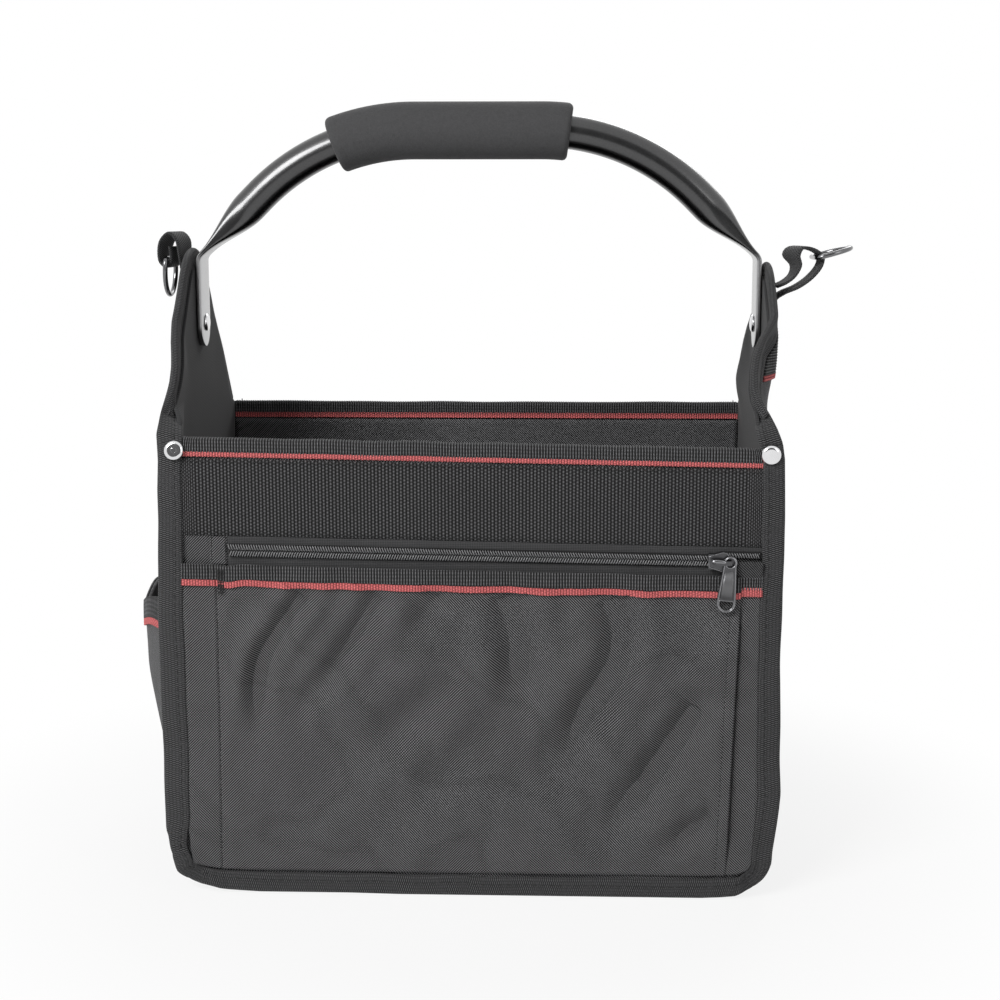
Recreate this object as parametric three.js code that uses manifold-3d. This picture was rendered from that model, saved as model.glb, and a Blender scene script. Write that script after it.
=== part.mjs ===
// Open-topped tool bag with a front zip pocket, two end flaps, a bent tube handle and two D-rings.
// Millimetres, +X right, +Y away from the viewer (the front is at -Y), +Z up.
// The origin is the centre of the base, on the floor.
import * as THREE from "three";
import { mergeVertices } from "three/addons/utils/BufferGeometryUtils.js";
import Module from "manifold-3d";

const wasm = await Module();
wasm.setup();

// Driving dimensions of the body
const bagWidth = 330; // across the end panels' outer faces
const bagDepth = 200; // across the front and back panels' outer faces
const rimHeight = 247; // top of the rim tape at mid width
const flapReach = 97; // top of the end flaps above the rim
const flapTopRadius = 36; // round top of a flap's edge
const shellThickness = 2.5; // padded outer fabric
const liningThickness = 2;
const floorLiningThickness = 1;
const baseCornerRadius = 20; // lower corners, seen from the front
const clearance = 0.3; // between pieces that are sewn or laid together
const rowSlope = 0.016; // how much the rows sewn on the front fall per millimetre to the right

// Bindings, tapes and webbing
const bindingWidth = 11.5;
const bindingThickness = 1.3;
const tapeThickness = 1.3;
const trimThickness = 1; // ribbed tape and stripe on a pocket
const rimTapeDrop = 7.6; // ribbed part of the rim tape
const stripeWidth = 2.9;
const bandHeight = 40.8;
const patchRise = 31.5; // lower edge of the ribbed patch outside a flap, above the rim
const patchTopMargin = 6; // between the patch and the binding over the flap's peak
const patchSideMargin = 1; // between the patch and the binding at its sides
const patchThickness = 1.5;
const liningStep = 3; // below a flap's foot, where its lining narrows

// Zip
const zipDrop = 7.6; // chain centreline below the webbing band
const zipLeftMargin = 24.6; // from the rows' left end to the chain
const zipRightMargin = 11;
const chainWidth = 5.6;
const coilThickness = 2.2;
const coilPitch = 2.6;
const coilSpine = 0.9;
const coilWireWidth = 0.95;
const coilLead = 0.2; // from the chain's end to its first loop
const coilMesh = 0.6; // how far a coil's loops reach past the centreline
const zipTapeThickness = 0.8;
const zipTapeHeight = 13;
const slitHalf = 0.3;
const recessDepth = 1.7; // the front panel is pressed in behind the chain
const recessMargin = 6; // left of the chain
const recessHalf = 7; // above and below the chain's centreline

// Slider and pull
const sliderInset = 17.2; // from the slider's tail to the chain's right end when the zip is closed
const sliderLength = 13.7;
const sliderTailHalf = 4;
const sliderTailRun = 3; // straight part behind the flare
const sliderShoulderHalf = 5.3;
const sliderShoulder = 7.5; // from the tail to the widest point
const sliderNose = [
  [9.7, 4.9],
  [12.3, 1.9],
]; // outline from the shoulder to the nose: distance from the tail, half-width
const sliderNoseHalf = 0.7;
const sliderPlate = 1.2;
const sliderBackPlate = 1;
const sliderGap = 0.4;
const flangeTailWall = 0.8;
const flangeShoulderWall = 0.6;
const weld = 0.2; // how far the slider's parts run into each other
const wedgeHalf = 0.8;
const wedgeStart = 1.3; // from the shoulder
const wedgeTaper = 1.3;
const wedgeEnd = 0.6; // from the nose
const partStart = 4; // from the slider's tail to where the chain begins to part
const partLength = 4.5;
const bridgeWidth = 2.4;
const bridgeThickness = 1.5;
const bridgeChamfer = 1.2;
const bridgeLeft = 2.5; // from the tail
const pullThickness = 1.7;
const pullEye = 11.3; // from the tail to the middle of the pull's eye
const eyeRadius = 3.6;
const eyeHole = 2.3;
const pullTopHalf = 3.2;
const pullBottomHalf = 4.9;
const pullDrop = 21.7; // from the eye to the centre of the pull's round end
const pullRim = 0.9;
const pullRecess = 0.6;
const pullRecessTop = 5; // below the eye
const pullWindowRise = 1.6; // top of the window above the centre of the round end
const pullWindowRim = 1.1;
const pullHang = 4.8; // degrees that the pull hangs to the left

// Front pocket
const pocketDrop = 8.5; // panel's top below the chain's centreline
const pocketThickness = 1.5;
const pocketBulge = 2.4;
const pocketSeamMargin = 19.2; // from the rows' left end to the seam
const pocketSeamRun = 5; // over which the panel leaves the seam
const pocketFootRun = 12; // over which it leaves its foot
const gussetMargin = 10.7; // from the fold to the rows' right end
const gussetTurn = 1.5;
const pocketTrimRise = 0.7;
const pocketTrimHeight = 8.1;
const pocketStripeWidth = 3.3;

// Side pocket on the left end
const sidePocketTop = 134.5;
const sidePocketFoot = 2; // above the turn of the end panel
const sidePocketMargin = 19.6; // from an end panel's edge
const sidePocketBulge = 28;
const sidePocketFill = 3; // how soon the bulge is full above the foot
const sidePocketSquare = 3.6; // how boxy the bulge is from front to back
const sidePocketThickness = 2;
const sidePocketTrim = 13;

// Handle
const tubeDiameter = 19;
const tubeSides = 16;
const handleRise = 108; // tube centreline at the top above the rivets
const handleStraight = 36; // half of the straight top
const handleBend = 125; // bend radius of the shoulders
const handleSlope = 45; // degrees
const flattenLength = 38;
const flatPower = 4; // how much squarer the flattened section is than the round one
const tabThickness = 3;
const tabWidth = 26.6;
const tabBendRadius = 6;
const tabTipDrop = 13.5; // from the rivet to the tab's tip
const tipTurn = 83; // degrees of the tip's rounding that its last ring has reached
const rivetRise = 56; // above the rim
const gripLeft = -82.3; // ends of the grip along the tube, from the middle
const gripRight = 52;
const gripDiameter = 32;
const gripRound = 2; // softened ends

// Rivets and rings
const rivetShank = 2.4;
const rivetHead = 5;
const rivetDome = 1.8;
const washerRadius = 6;
const washerThickness = 1;
const washerChamfer = 0.6;
const cornerRivetInset = 8.4; // from an end panel's outer face
const cornerRivetDrop = 5.5; // below the rim
const cornerRivetHead = 5.2;
const cornerRivetShank = 1.8;
const cornerRivetDome = 2;
const ringWire = 2.8;
const ringInsideWidth = 25;
const ringInsideReach = 18;
const ringCorner = 4;
const ringWebbingThickness = 1.6;
const ringWebbingWidth = 23;
const leftRingHang = -92; // degrees of the left ring's bow above the horizontal
const rightRingTilt = 15; // degrees of the right ring's bow above the horizontal

// Derived places
const halfWidth = bagWidth / 2;
const halfDepth = bagDepth / 2;
const flapPeak = rimHeight + flapReach;
const edgeWrap = clearance + bindingThickness; // binding beyond a panel's edge
const shellFoot = edgeWrap; // the front panel's lower edge, so that its binding stands on the floor
const bindingBack = halfDepth - shellThickness - edgeWrap; // inner face of a front or back binding
const endHalfDepth = bindingBack - clearance; // half the depth of the end and base panels
const turnCentre = halfWidth - baseCornerRadius; // where the ends turn into the base
const liningOuter = halfWidth - shellThickness - clearance; // outer face of an end lining
const liningInner = liningOuter - liningThickness;
const liningFront = halfDepth - shellThickness - clearance;
const liningBack = liningFront - liningThickness;
const bandTop = rimHeight - rimTapeDrop - stripeWidth - 2 * clearance;
const bandBottom = bandTop - bandHeight;
const rowHalf = halfWidth - bindingWidth - clearance; // half-length of the rows between the bindings
const flapArcCentre = flapPeak - flapTopRadius;
const flapFoot = rimHeight + rowSlope * halfWidth + 2 * clearance; // where a flap's own binding starts
const flapRise = flapArcCentre - flapFoot;
const lean =
  Math.atan2(endHalfDepth, flapRise) - Math.asin(flapTopRadius / Math.hypot(endHalfDepth, flapRise));
const patchBottom = rimHeight + patchRise;
const zipHeight = bandBottom - zipDrop; // chain centreline at mid width
const zipLeft = -rowHalf + zipLeftMargin;
const zipRight = rowHalf - zipRightMargin;
const sliderTail = zipRight - sliderInset; // left end of the slider when the zip is closed
const zipTapeFront = -(halfDepth + clearance + zipTapeThickness);
const coilBack = zipTapeFront - clearance;
const coilFront = coilBack - coilThickness;
const slidePlateBack = coilFront - sliderGap; // inner face of the slider's outer plate
const slidePlateFront = slidePlateBack - sliderPlate;
const backPlateFront = -halfDepth + clearance / 3; // outer face of the slider's back plate
const pullBack = slidePlateFront - sliderGap;
const pullFront = pullBack - pullThickness;
const bridgeBack = pullFront - sliderGap;
const partMost = wedgeHalf + clearance + coilMesh; // how far each coil is held apart at the wedge
const pocketTop = zipHeight - pocketDrop;
const pocketBottom = shellFoot + bindingWidth + clearance;
const pocketSeamX = -rowHalf + pocketSeamMargin;
const gussetFoldX = rowHalf - gussetMargin;
const pocketFront = zipTapeFront - clearance; // back face of the pocket panel in front of the zip tape
const pocketTrimTop = pocketTop + pocketTrimRise;
const pocketStripeTop = pocketTrimTop - pocketTrimHeight - clearance;
const sidePocketBottom = baseCornerRadius + sidePocketFoot;
const sidePocketHalf = endHalfDepth - sidePocketMargin;
const tabX = liningInner - clearance - tabThickness / 2; // middle of a handle tab
const tubeRadius = tubeDiameter / 2;
const rivetHeight = rimHeight + rivetRise;
const tabTip = rivetHeight - tabTipDrop;
const handleTop = rivetHeight + handleRise;
const cornerRivetX = halfWidth - cornerRivetInset;
const cornerRivetHeight = rimHeight - cornerRivetDrop;

// Height of a row at x: the rows on the front fall slightly to the right.
const rowAt = (height, x) => height - rowSlope * x;

const smooth = (t) => {
  const c = Math.min(1, Math.max(0, t));
  return c * c * (3 - 2 * c);
};

// Materials
const paint = (color, roughness, metalness = 0) =>
  new THREE.MeshStandardMaterial({ color, roughness, metalness });
const look = {
  twill: () => paint(0x3a3b3d, 0.85),
  lining: () => paint(0x303133, 0.8),
  binding: () => paint(0x35363a, 0.85),
  webbing: () => paint(0x2b2c2e, 0.8),
  stripe: () => paint(0xb44a48, 0.8),
  coil: () => paint(0x26272a, 0.45),
  board: () => paint(0x202124, 0.6),
  gunmetal: () => paint(0x6b6c70, 0.3, 0.9),
  nickel: () => paint(0xc4c5c8, 0.2, 1),
  tube: () => paint(0x121214, 0.2),
  foam: () => paint(0x3b3c3e, 0.95),
};

// A closed surface turned so that its faces point outward.
function closedGeometry(points, triangles) {
  const position = new THREE.Float32BufferAttribute(points.flat(), 3);
  const a = new THREE.Vector3();
  const b = new THREE.Vector3();
  const c = new THREE.Vector3();
  let volume = 0;
  for (const [i, j, k] of triangles) {
    a.fromBufferAttribute(position, i);
    b.fromBufferAttribute(position, j);
    c.fromBufferAttribute(position, k);
    volume += a.dot(b.cross(c));
  }
  const faces = volume < 0 ? triangles.map(([i, j, k]) => [i, k, j]) : triangles;
  const geometry = new THREE.BufferGeometry();
  geometry.setAttribute("position", position);
  geometry.setIndex(faces.flat());
  geometry.computeVertexNormals();
  return geometry;
}

// Rings of points joined one to the next, with flat ends unless the run is closed.
function sweep(rings, { contour = null, closed = false } = {}) {
  const sides = rings[0].length;
  const triangles = [];
  const spans = closed ? rings.length : rings.length - 1;
  for (let i = 0; i < spans; i++) {
    const here = i * sides;
    const next = ((i + 1) % rings.length) * sides;
    for (let j = 0; j < sides; j++) {
      const k = (j + 1) % sides;
      triangles.push([here + j, here + k, next + k], [here + j, next + k, next + j]);
    }
  }
  if (!closed) {
    const last = (rings.length - 1) * sides;
    for (const [a, b, c] of capFaces(contour, sides)) {
      triangles.push([a, c, b], [last + a, last + b, last + c]);
    }
  }
  return closedGeometry(rings.flat(), triangles);
}

function capFaces(contour, sides) {
  if (!contour) return Array.from({ length: sides - 2 }, (_, i) => [0, i + 1, i + 2]);
  const flat = contour.map(([u, v]) => new THREE.Vector2(u, v));
  const faces = THREE.ShapeUtils.triangulateShape(flat, []);
  return THREE.ShapeUtils.isClockWise(flat) ? faces.map(([a, b, c]) => [a, c, b]) : faces;
}

// A sheet with an outer and an inner face, each given as rows of points.
function sheet(outer, inner) {
  const rows = outer.length;
  const cols = outer[0].length;
  const at = (i, j) => i * cols + j;
  const under = (i, j) => rows * cols + at(i, j);
  const triangles = [];
  const quad = (a, b, c, d) => triangles.push([a, b, c], [a, c, d]);
  for (let i = 0; i < rows - 1; i++) {
    for (let j = 0; j < cols - 1; j++) {
      quad(at(i, j), at(i, j + 1), at(i + 1, j + 1), at(i + 1, j));
      quad(under(i, j), under(i + 1, j), under(i + 1, j + 1), under(i, j + 1));
    }
    quad(at(i, 0), at(i + 1, 0), under(i + 1, 0), under(i, 0));
    quad(at(i + 1, cols - 1), at(i, cols - 1), under(i, cols - 1), under(i + 1, cols - 1));
  }
  for (let j = 0; j < cols - 1; j++) {
    quad(at(0, j + 1), at(0, j), under(0, j), under(0, j + 1));
    quad(at(rows - 1, j), at(rows - 1, j + 1), under(rows - 1, j + 1), under(rows - 1, j));
  }
  return closedGeometry([...outer.flat(), ...inner.flat()], triangles);
}

// An outline in X and Z extruded along Y between two faces.
function plate(outline, yNear, yFar) {
  const shape = new THREE.Shape(outline.map(([x, z]) => new THREE.Vector2(x, z)));
  const geometry = new THREE.ExtrudeGeometry(shape, { depth: yFar - yNear, bevelEnabled: false });
  return geometry.rotateX(Math.PI / 2).translate(0, yFar, 0);
}

function block(x0, x1, y0, y1, z0, z1) {
  const geometry = new THREE.BoxGeometry(x1 - x0, y1 - y0, z1 - z0);
  return geometry.translate((x0 + x1) / 2, (y0 + y1) / 2, (z0 + z1) / 2);
}

function toSolid(geometry) {
  const bare = new THREE.BufferGeometry();
  bare.setAttribute("position", geometry.getAttribute("position").clone());
  if (geometry.index) bare.setIndex(geometry.index.clone());
  const merged = mergeVertices(bare, 1e-4);
  return new wasm.Manifold(
    new wasm.Mesh({
      numProp: 3,
      vertProperties: new Float32Array(merged.attributes.position.array),
      triVerts: new Uint32Array(merged.index.array),
    }),
  );
}

function toGeometry(solid) {
  const made = solid.getMesh();
  const geometry = new THREE.BufferGeometry();
  geometry.setAttribute("position", new THREE.BufferAttribute(made.vertProperties, 3));
  geometry.setIndex(new THREE.BufferAttribute(made.triVerts, 1));
  geometry.computeVertexNormals();
  return geometry;
}

const join = (...parts) => toGeometry(parts.map(toSolid).reduce((all, next) => all.add(next)));
const cut = (body, ...tools) =>
  toGeometry(tools.map(toSolid).reduce((left, tool) => left.subtract(tool), toSolid(body)));

// A drill along X or Y, long enough to pass through whatever it meets.
function drill(axis, radius, x, y, z, length = 30) {
  const tool = new THREE.CylinderGeometry(radius, radius, length, 16);
  if (axis === "x") tool.rotateZ(Math.PI / 2);
  return tool.translate(x, y, z);
}

// Outline of a front, back or lining panel: square at the top, round at its lower corners.
function panelOutline(inset, topHeight, slope) {
  const x = halfWidth - inset;
  const foot = shellFoot + inset;
  const radius = baseCornerRadius - inset;
  const steps = 6;
  const points = [];
  if (radius > 0) {
    for (let i = 0; i <= steps; i++) {
      const angle = (Math.PI / 2) * (i / steps);
      const dx = radius * (1 - Math.cos(angle));
      const dz = radius * (1 - Math.sin(angle));
      points.push([x - dx, foot + dz]);
    }
  } else {
    points.push([x, foot]);
  }
  const lowerRight = [...points].reverse();
  const lowerLeft = points.map(([px, pz]) => [-px, pz]);
  return [
    [-x, topHeight + slope * x],
    ...lowerLeft,
    ...lowerRight,
    [x, topHeight - slope * x],
  ];
}

// Half-width of a flap at a height, for an outline moved inward by an inset: a straight slope from the
// rim that runs into the round top.
function flapStations(inset) {
  const radius = flapTopRadius - inset;
  const foot = endHalfDepth - inset / Math.cos(lean);
  const stations = [[foot, flapFoot]];
  const arcSteps = 5;
  const lastAngle = THREE.MathUtils.degToRad(7);
  for (let i = 0; i <= arcSteps; i++) {
    const angle = Math.PI / 2 - lean + (lastAngle - Math.PI / 2 + lean) * (i / arcSteps);
    stations.push([radius * Math.sin(angle), flapArcCentre + radius * Math.cos(angle)]);
  }
  return stations;
}

// A sheet that follows an end of the bag between two distances from the middle.
function endSheet(side, near, far, rows) {
  const face = (layer) =>
    rows.map((row) => {
      const [x, z] = row.turn ? row.turn(layer) : [layer, row.z];
      return [
        [side * x, row.half, z],
        [side * x, -row.half, z],
      ];
    });
  return sheet(face(far), face(near));
}

// Rows round the bag's lower corner, where an end panel turns under to meet the base.
function turnedRows(half) {
  const steps = 5;
  return Array.from({ length: steps + 1 }, (_, i) => ({
    half,
    turn: (layer) => {
      const radius = layer - turnCentre;
      const angle = (Math.PI / 2) * (i / steps);
      return [turnCentre + radius * Math.sin(angle), baseCornerRadius - radius * Math.cos(angle)];
    },
  }));
}

function endPanel(side) {
  const rows = [
    ...turnedRows(endHalfDepth),
    ...flapStations(0).map(([half, z]) => ({ half, z })),
  ];
  const panel = endSheet(side, halfWidth - shellThickness, halfWidth, rows);
  return cut(panel, drill("x", rivetShank + clearance, side * halfWidth, 0, rivetHeight));
}

function endLining(side) {
  const half = liningBack - clearance;
  const rows = [
    ...turnedRows(half),
    { half, z: flapFoot - liningStep },
    ...flapStations(bindingWidth + clearance).map(([width, z]) => ({ half: width, z })),
  ];
  const panel = endSheet(side, liningInner, liningOuter, rows);
  return cut(panel, drill("x", rivetShank + clearance, side * halfWidth, 0, rivetHeight));
}

// Folded tape over a flap's free edge: a U section carried from the front over the peak to the back.
function flapBinding(side) {
  const inner = halfWidth - shellThickness;
  const corners = [
    [-edgeWrap, halfWidth + edgeWrap],
    [bindingWidth, halfWidth + edgeWrap],
    [bindingWidth, halfWidth + clearance],
    [-clearance, halfWidth + clearance],
    [-clearance, inner - clearance],
    [bindingWidth, inner - clearance],
    [bindingWidth, inner - edgeWrap],
    [-edgeWrap, inner - edgeWrap],
  ];
  const paths = corners.map(([inset]) => flapStations(inset));
  const count = paths[0].length;
  const ring = (k, front) =>
    corners.map(([, x], c) => {
      const [half, z] = paths[c][k];
      return [side * x, front ? -half : half, z];
    });
  const rings = [];
  for (let k = 0; k < count; k++) rings.push(ring(k, true));
  for (let k = count - 1; k >= 0; k--) rings.push(ring(k, false));
  return sweep(rings, { contour: corners });
}

// Ribbed patch outside a flap, or the red stripe along its lower edge.
function flapPatch(side, bottom, top) {
  const stations = flapStations(bindingWidth + patchSideMargin);
  const leastRow = 2;
  const halfAt = (z) => {
    const next = stations.findIndex(([, height]) => height > z);
    const [h1, z1] = stations[next];
    const [h0, z0] = stations[next - 1];
    return h0 + ((h1 - h0) * (z - z0)) / (z1 - z0);
  };
  const rows = [{ half: halfAt(bottom), z: bottom }];
  for (const [half, z] of stations) {
    if (z > bottom + leastRow && z < top - leastRow) rows.push({ half, z });
  }
  rows.push({ half: halfAt(top), z: top });
  const near = halfWidth + clearance;
  const panel = endSheet(side, near, near + patchThickness, rows);
  const hole = drill("x", rivetShank + clearance, side * halfWidth, 0, rivetHeight);
  return bottom < rivetHeight && top > rivetHeight ? cut(panel, hole) : panel;
}

// Folded tape round the sides and foot of the front or back panel.
function seamBinding(side) {
  const layers = [
    [-edgeWrap, halfDepth + edgeWrap],
    [bindingWidth, halfDepth + edgeWrap],
    [bindingWidth, halfDepth + clearance],
    [-clearance, halfDepth + clearance],
    [-clearance, halfDepth - shellThickness - clearance],
    [bindingWidth, halfDepth - shellThickness - clearance],
    [bindingWidth, bindingBack],
    [-edgeWrap, bindingBack],
  ];
  const slope = side < 0 ? rowSlope : 0;
  const paths = layers.map(([inset]) => panelOutline(inset, rimHeight, slope));
  const rings = paths[0].map((_, k) =>
    layers.map(([, y], c) => {
      const [x, z] = paths[c][k];
      return [x, side * y, z];
    }),
  );
  const hole = (x) =>
    drill("y", cornerRivetShank + clearance, x, side * halfDepth, cornerRivetHeight);
  return cut(sweep(rings, { contour: layers }), hole(cornerRivetX), hole(-cornerRivetX));
}

// A straight strip between two heights, following the slope of the front rows.
function strip(left, right, bottom, top, yNear, yFar, slope = rowSlope) {
  return plate(
    [
      [left, bottom - slope * left],
      [right, bottom - slope * right],
      [right, top - slope * right],
      [left, top - slope * left],
    ],
    yNear,
    yFar,
  );
}

function frontPanel() {
  const shell = plate(
    panelOutline(0, rimHeight - edgeWrap, rowSlope),
    -halfDepth,
    -halfDepth + shellThickness,
  );
  const recess = strip(
    zipLeft - recessMargin,
    rowHalf,
    zipHeight - recessHalf,
    zipHeight + recessHalf,
    -halfDepth - clearance,
    -halfDepth + recessDepth,
  );
  const hole = (x) =>
    drill("y", cornerRivetShank + clearance, x, -halfDepth, cornerRivetHeight);
  return cut(shell, recess, hole(cornerRivetX), hole(-cornerRivetX));
}

function backPanel() {
  const shell = plate(
    panelOutline(0, rimHeight - edgeWrap, 0),
    halfDepth - shellThickness,
    halfDepth,
  );
  const hole = (x) => drill("y", cornerRivetShank + clearance, x, halfDepth, cornerRivetHeight);
  return cut(shell, hole(cornerRivetX), hole(-cornerRivetX));
}

// Lining of the front or back, inside the bindings and below the rim tape's inner leg.
function wallLining(side) {
  const slope = side < 0 ? rowSlope : 0;
  const outline = panelOutline(bindingWidth + clearance, bandTop, slope);
  return side < 0 ? plate(outline, -liningFront, -liningBack) : plate(outline, liningBack, liningFront);
}

// Ribbed tape folded over the rim, open downward.
function rimTape(side) {
  const top = rimHeight;
  const bottom = rimHeight - rimTapeDrop;
  const outer = halfDepth + clearance + tapeThickness;
  const inner = halfDepth - shellThickness - clearance - tapeThickness;
  const section = [
    [outer, bottom],
    [outer, top],
    [inner, top],
    [inner, bottom],
    [inner + tapeThickness, bottom],
    [inner + tapeThickness, top - tapeThickness],
    [outer - tapeThickness, top - tapeThickness],
    [outer - tapeThickness, bottom],
  ];
  const slope = side < 0 ? rowSlope : 0;
  const ring = (x) => section.map(([y, z]) => [x, side * y, z - slope * x]);
  return sweep([ring(-rowHalf), ring(rowHalf)], { contour: section });
}

function rimStripe(side, inside) {
  const top = rimHeight - rimTapeDrop - clearance;
  const near = inside ? halfDepth - shellThickness - clearance - tapeThickness : halfDepth + clearance;
  const far = near + tapeThickness;
  const slope = side < 0 ? rowSlope : 0;
  const [y0, y1] = side < 0 ? [-far, -near] : [near, far];
  return strip(-rowHalf, rowHalf, top - stripeWidth, top, y0, y1, slope);
}

const webbingBand = () =>
  strip(
    -rowHalf,
    rowHalf,
    bandBottom,
    bandTop,
    -(halfDepth + clearance + tapeThickness),
    -(halfDepth + clearance),
  );

// How far the chain is parted at x: closed to the left of the slider, held open at its wedge.
const partAt = (x) => partMost * smooth((x - sliderTail - partStart) / partLength);

const zipStations = () => {
  const steps = 6;
  const parting = Array.from(
    { length: steps + 1 },
    (_, i) => sliderTail + partStart + (partLength * i) / steps,
  );
  return [zipLeft, ...parting, zipRight];
};

function zipTape(direction) {
  const stations = zipStations();
  const away = direction > 0 ? bandBottom - clearance : zipHeight - zipTapeHeight;
  const inner = stations.map((x) => [x, rowAt(zipHeight + direction * (slitHalf + partAt(x)), x)]);
  const outer = [zipRight, zipLeft].map((x) => [x, rowAt(away, x)]);
  return plate([...inner, ...outer], zipTapeFront, zipTapeFront + zipTapeThickness);
}

// One side of the chain: a spine along the tape with loops that mesh with the other side's.
function zipCoil(direction) {
  const half = chainWidth / 2;
  const height = (x, offset) => rowAt(zipHeight + direction * (offset + partAt(x)), x);
  const start = zipLeft + (direction > 0 ? 0 : coilPitch / 2);
  const count = Math.floor((zipRight - start - coilWireWidth) / coilPitch);
  const inner = [[zipLeft, height(zipLeft, half - coilSpine)]];
  for (let i = 0; i <= count; i++) {
    const x0 = start + coilLead + i * coilPitch;
    const x1 = x0 + coilWireWidth;
    inner.push([x0, height(x0, half - coilSpine)], [x0, height(x0, -coilMesh)]);
    inner.push([x1, height(x1, -coilMesh)], [x1, height(x1, half - coilSpine)]);
  }
  inner.push([zipRight, height(zipRight, half - coilSpine)]);
  const outer = zipStations().reverse().map((x) => [x, height(x, half)]);
  return plate([...inner, ...outer], coilFront, coilBack);
}

// Plan of the slider, tail to the left and nose to the right.
const sliderPlan = () => {
  const upper = [
    [0, sliderTailHalf],
    [sliderTailRun, sliderTailHalf],
    [sliderShoulder, sliderShoulderHalf],
    ...sliderNose,
    [sliderLength, sliderNoseHalf],
  ];
  return [...upper, ...upper.map(([x, z]) => [x, -z]).reverse()];
};

// Side wall of the slider that keeps a coil in, on the sign's side of the chain.
function sliderFlange(sign) {
  const tail = sign * sliderTailHalf;
  const innerTail = sign * (sliderTailHalf - flangeTailWall);
  const outline = [
    [0, tail],
    [sliderTailRun, tail],
    [sliderShoulder, sign * sliderShoulderHalf],
    [sliderShoulder, sign * (sliderShoulderHalf - flangeShoulderWall)],
    [sliderTailRun, innerTail],
    [0, innerTail],
  ];
  return plate(outline, slidePlateBack - weld, zipTapeFront - sliderGap);
}

// Post between the coils that joins the slider's two plates.
function sliderWedge() {
  const start = sliderShoulder + wedgeStart;
  const end = sliderLength - wedgeEnd;
  const outline = [
    [start, 0],
    [start + wedgeTaper, wedgeHalf],
    [end - weld, wedgeHalf],
    [end, 0],
    [end - weld, -wedgeHalf],
    [start + wedgeTaper, -wedgeHalf],
  ];
  return plate(outline, slidePlateBack - weld, backPlateFront + weld);
}

const slider = () =>
  join(
    plate(sliderPlan(), slidePlateFront, slidePlateBack),
    plate(sliderPlan(), backPlateFront, backPlateFront + sliderBackPlate),
    sliderFlange(1),
    sliderFlange(-1),
    sliderWedge(),
    bridge(),
  );

// Arch over the slider that carries the pull.
function bridge() {
  const right = pullEye + bridgeThickness / 2;
  const foot = slidePlateFront + weld;
  const top = bridgeBack - bridgeThickness;
  const profile = [
    [bridgeLeft, foot],
    [bridgeLeft, top + bridgeChamfer],
    [bridgeLeft + bridgeChamfer, top],
    [right - bridgeChamfer, top],
    [right, top + bridgeChamfer],
    [right, foot],
    [right - bridgeThickness, foot],
    [right - bridgeThickness, bridgeBack],
    [bridgeLeft + bridgeThickness, bridgeBack],
    [bridgeLeft + bridgeThickness, foot],
  ];
  const half = bridgeWidth / 2;
  const ring = (z) => profile.map(([x, y]) => [x, y, z]);
  return sweep([ring(-half), ring(half)], { contour: profile });
}

// Points on an arc about a centre, angles in degrees.
function arcPoints(centreX, centreZ, radius, from, to, steps) {
  return Array.from({ length: steps + 1 }, (_, i) => {
    const angle = THREE.MathUtils.degToRad(from + ((to - from) * i) / steps);
    return [centreX + radius * Math.cos(angle), centreZ + radius * Math.sin(angle)];
  });
}

const disc = (radius, sides) => arcPoints(0, 0, radius, 0, 360, sides).slice(1);

// The pull, with its eye at the origin: round eye, tapered body with a raised rim, window at the foot.
function pullBody() {
  const neck = -(eyeRadius + eyeHole) / 4;
  const body = [
    [-pullTopHalf, neck],
    ...arcPoints(0, -pullDrop, pullBottomHalf, 180, 360, 12),
    [pullTopHalf, neck],
  ];
  const windowTop = -pullDrop + pullWindowRise;
  const windowHalf = pullBottomHalf - pullWindowRim;
  const window = [
    [-windowHalf, windowTop],
    ...arcPoints(0, -pullDrop, windowHalf, 180, 360, 8),
    [windowHalf, windowTop],
  ];
  const recessTopHalf = pullTopHalf - pullRim;
  const recessBottomHalf = pullBottomHalf - pullRim - pullRim / 3;
  const recess = [
    [-recessTopHalf, -pullRecessTop],
    [-recessBottomHalf, windowTop + pullRim],
    [recessBottomHalf, windowTop + pullRim],
    [recessTopHalf, -pullRecessTop],
  ];
  const shank = join(
    plate(disc(eyeRadius, 24), pullFront, pullBack),
    plate(body, pullFront, pullBack),
  );
  const before = pullFront - clearance;
  const behind = pullBack + clearance;
  return cut(
    shank,
    plate(window, before, behind),
    plate(recess, before, pullFront + pullRecess),
    plate(disc(eyeHole, 18), before, behind),
  );
}

// Distance of the pocket panel's back face from the bag's middle.
function pocketDepth(x, z) {
  const seated = halfDepth + clearance;
  const left = smooth((x - pocketSeamX) / pocketSeamRun);
  const right = smooth((gussetFoldX + gussetTurn - x) / gussetTurn);
  const foot = smooth((z - pocketBottom) / pocketFootRun);
  const acrossX = Math.sin((Math.PI * (x - pocketSeamX)) / (gussetFoldX - pocketSeamX));
  const acrossZ = Math.sin((Math.PI * (z - pocketBottom)) / (pocketTop - pocketBottom));
  const bulge = pocketBulge * Math.max(0, acrossX) * Math.max(0, acrossZ);
  return seated + left * right * ((-pocketFront - seated) * foot + bulge);
}

// Half-width that the seam binding leaves free at a height.
function insideBinding(z) {
  const radius = rowHalf - turnCentre;
  const below = Math.max(0, shellFoot + baseCornerRadius - z);
  return turnCentre + Math.sqrt(Math.max(0, radius ** 2 - below ** 2));
}

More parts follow.
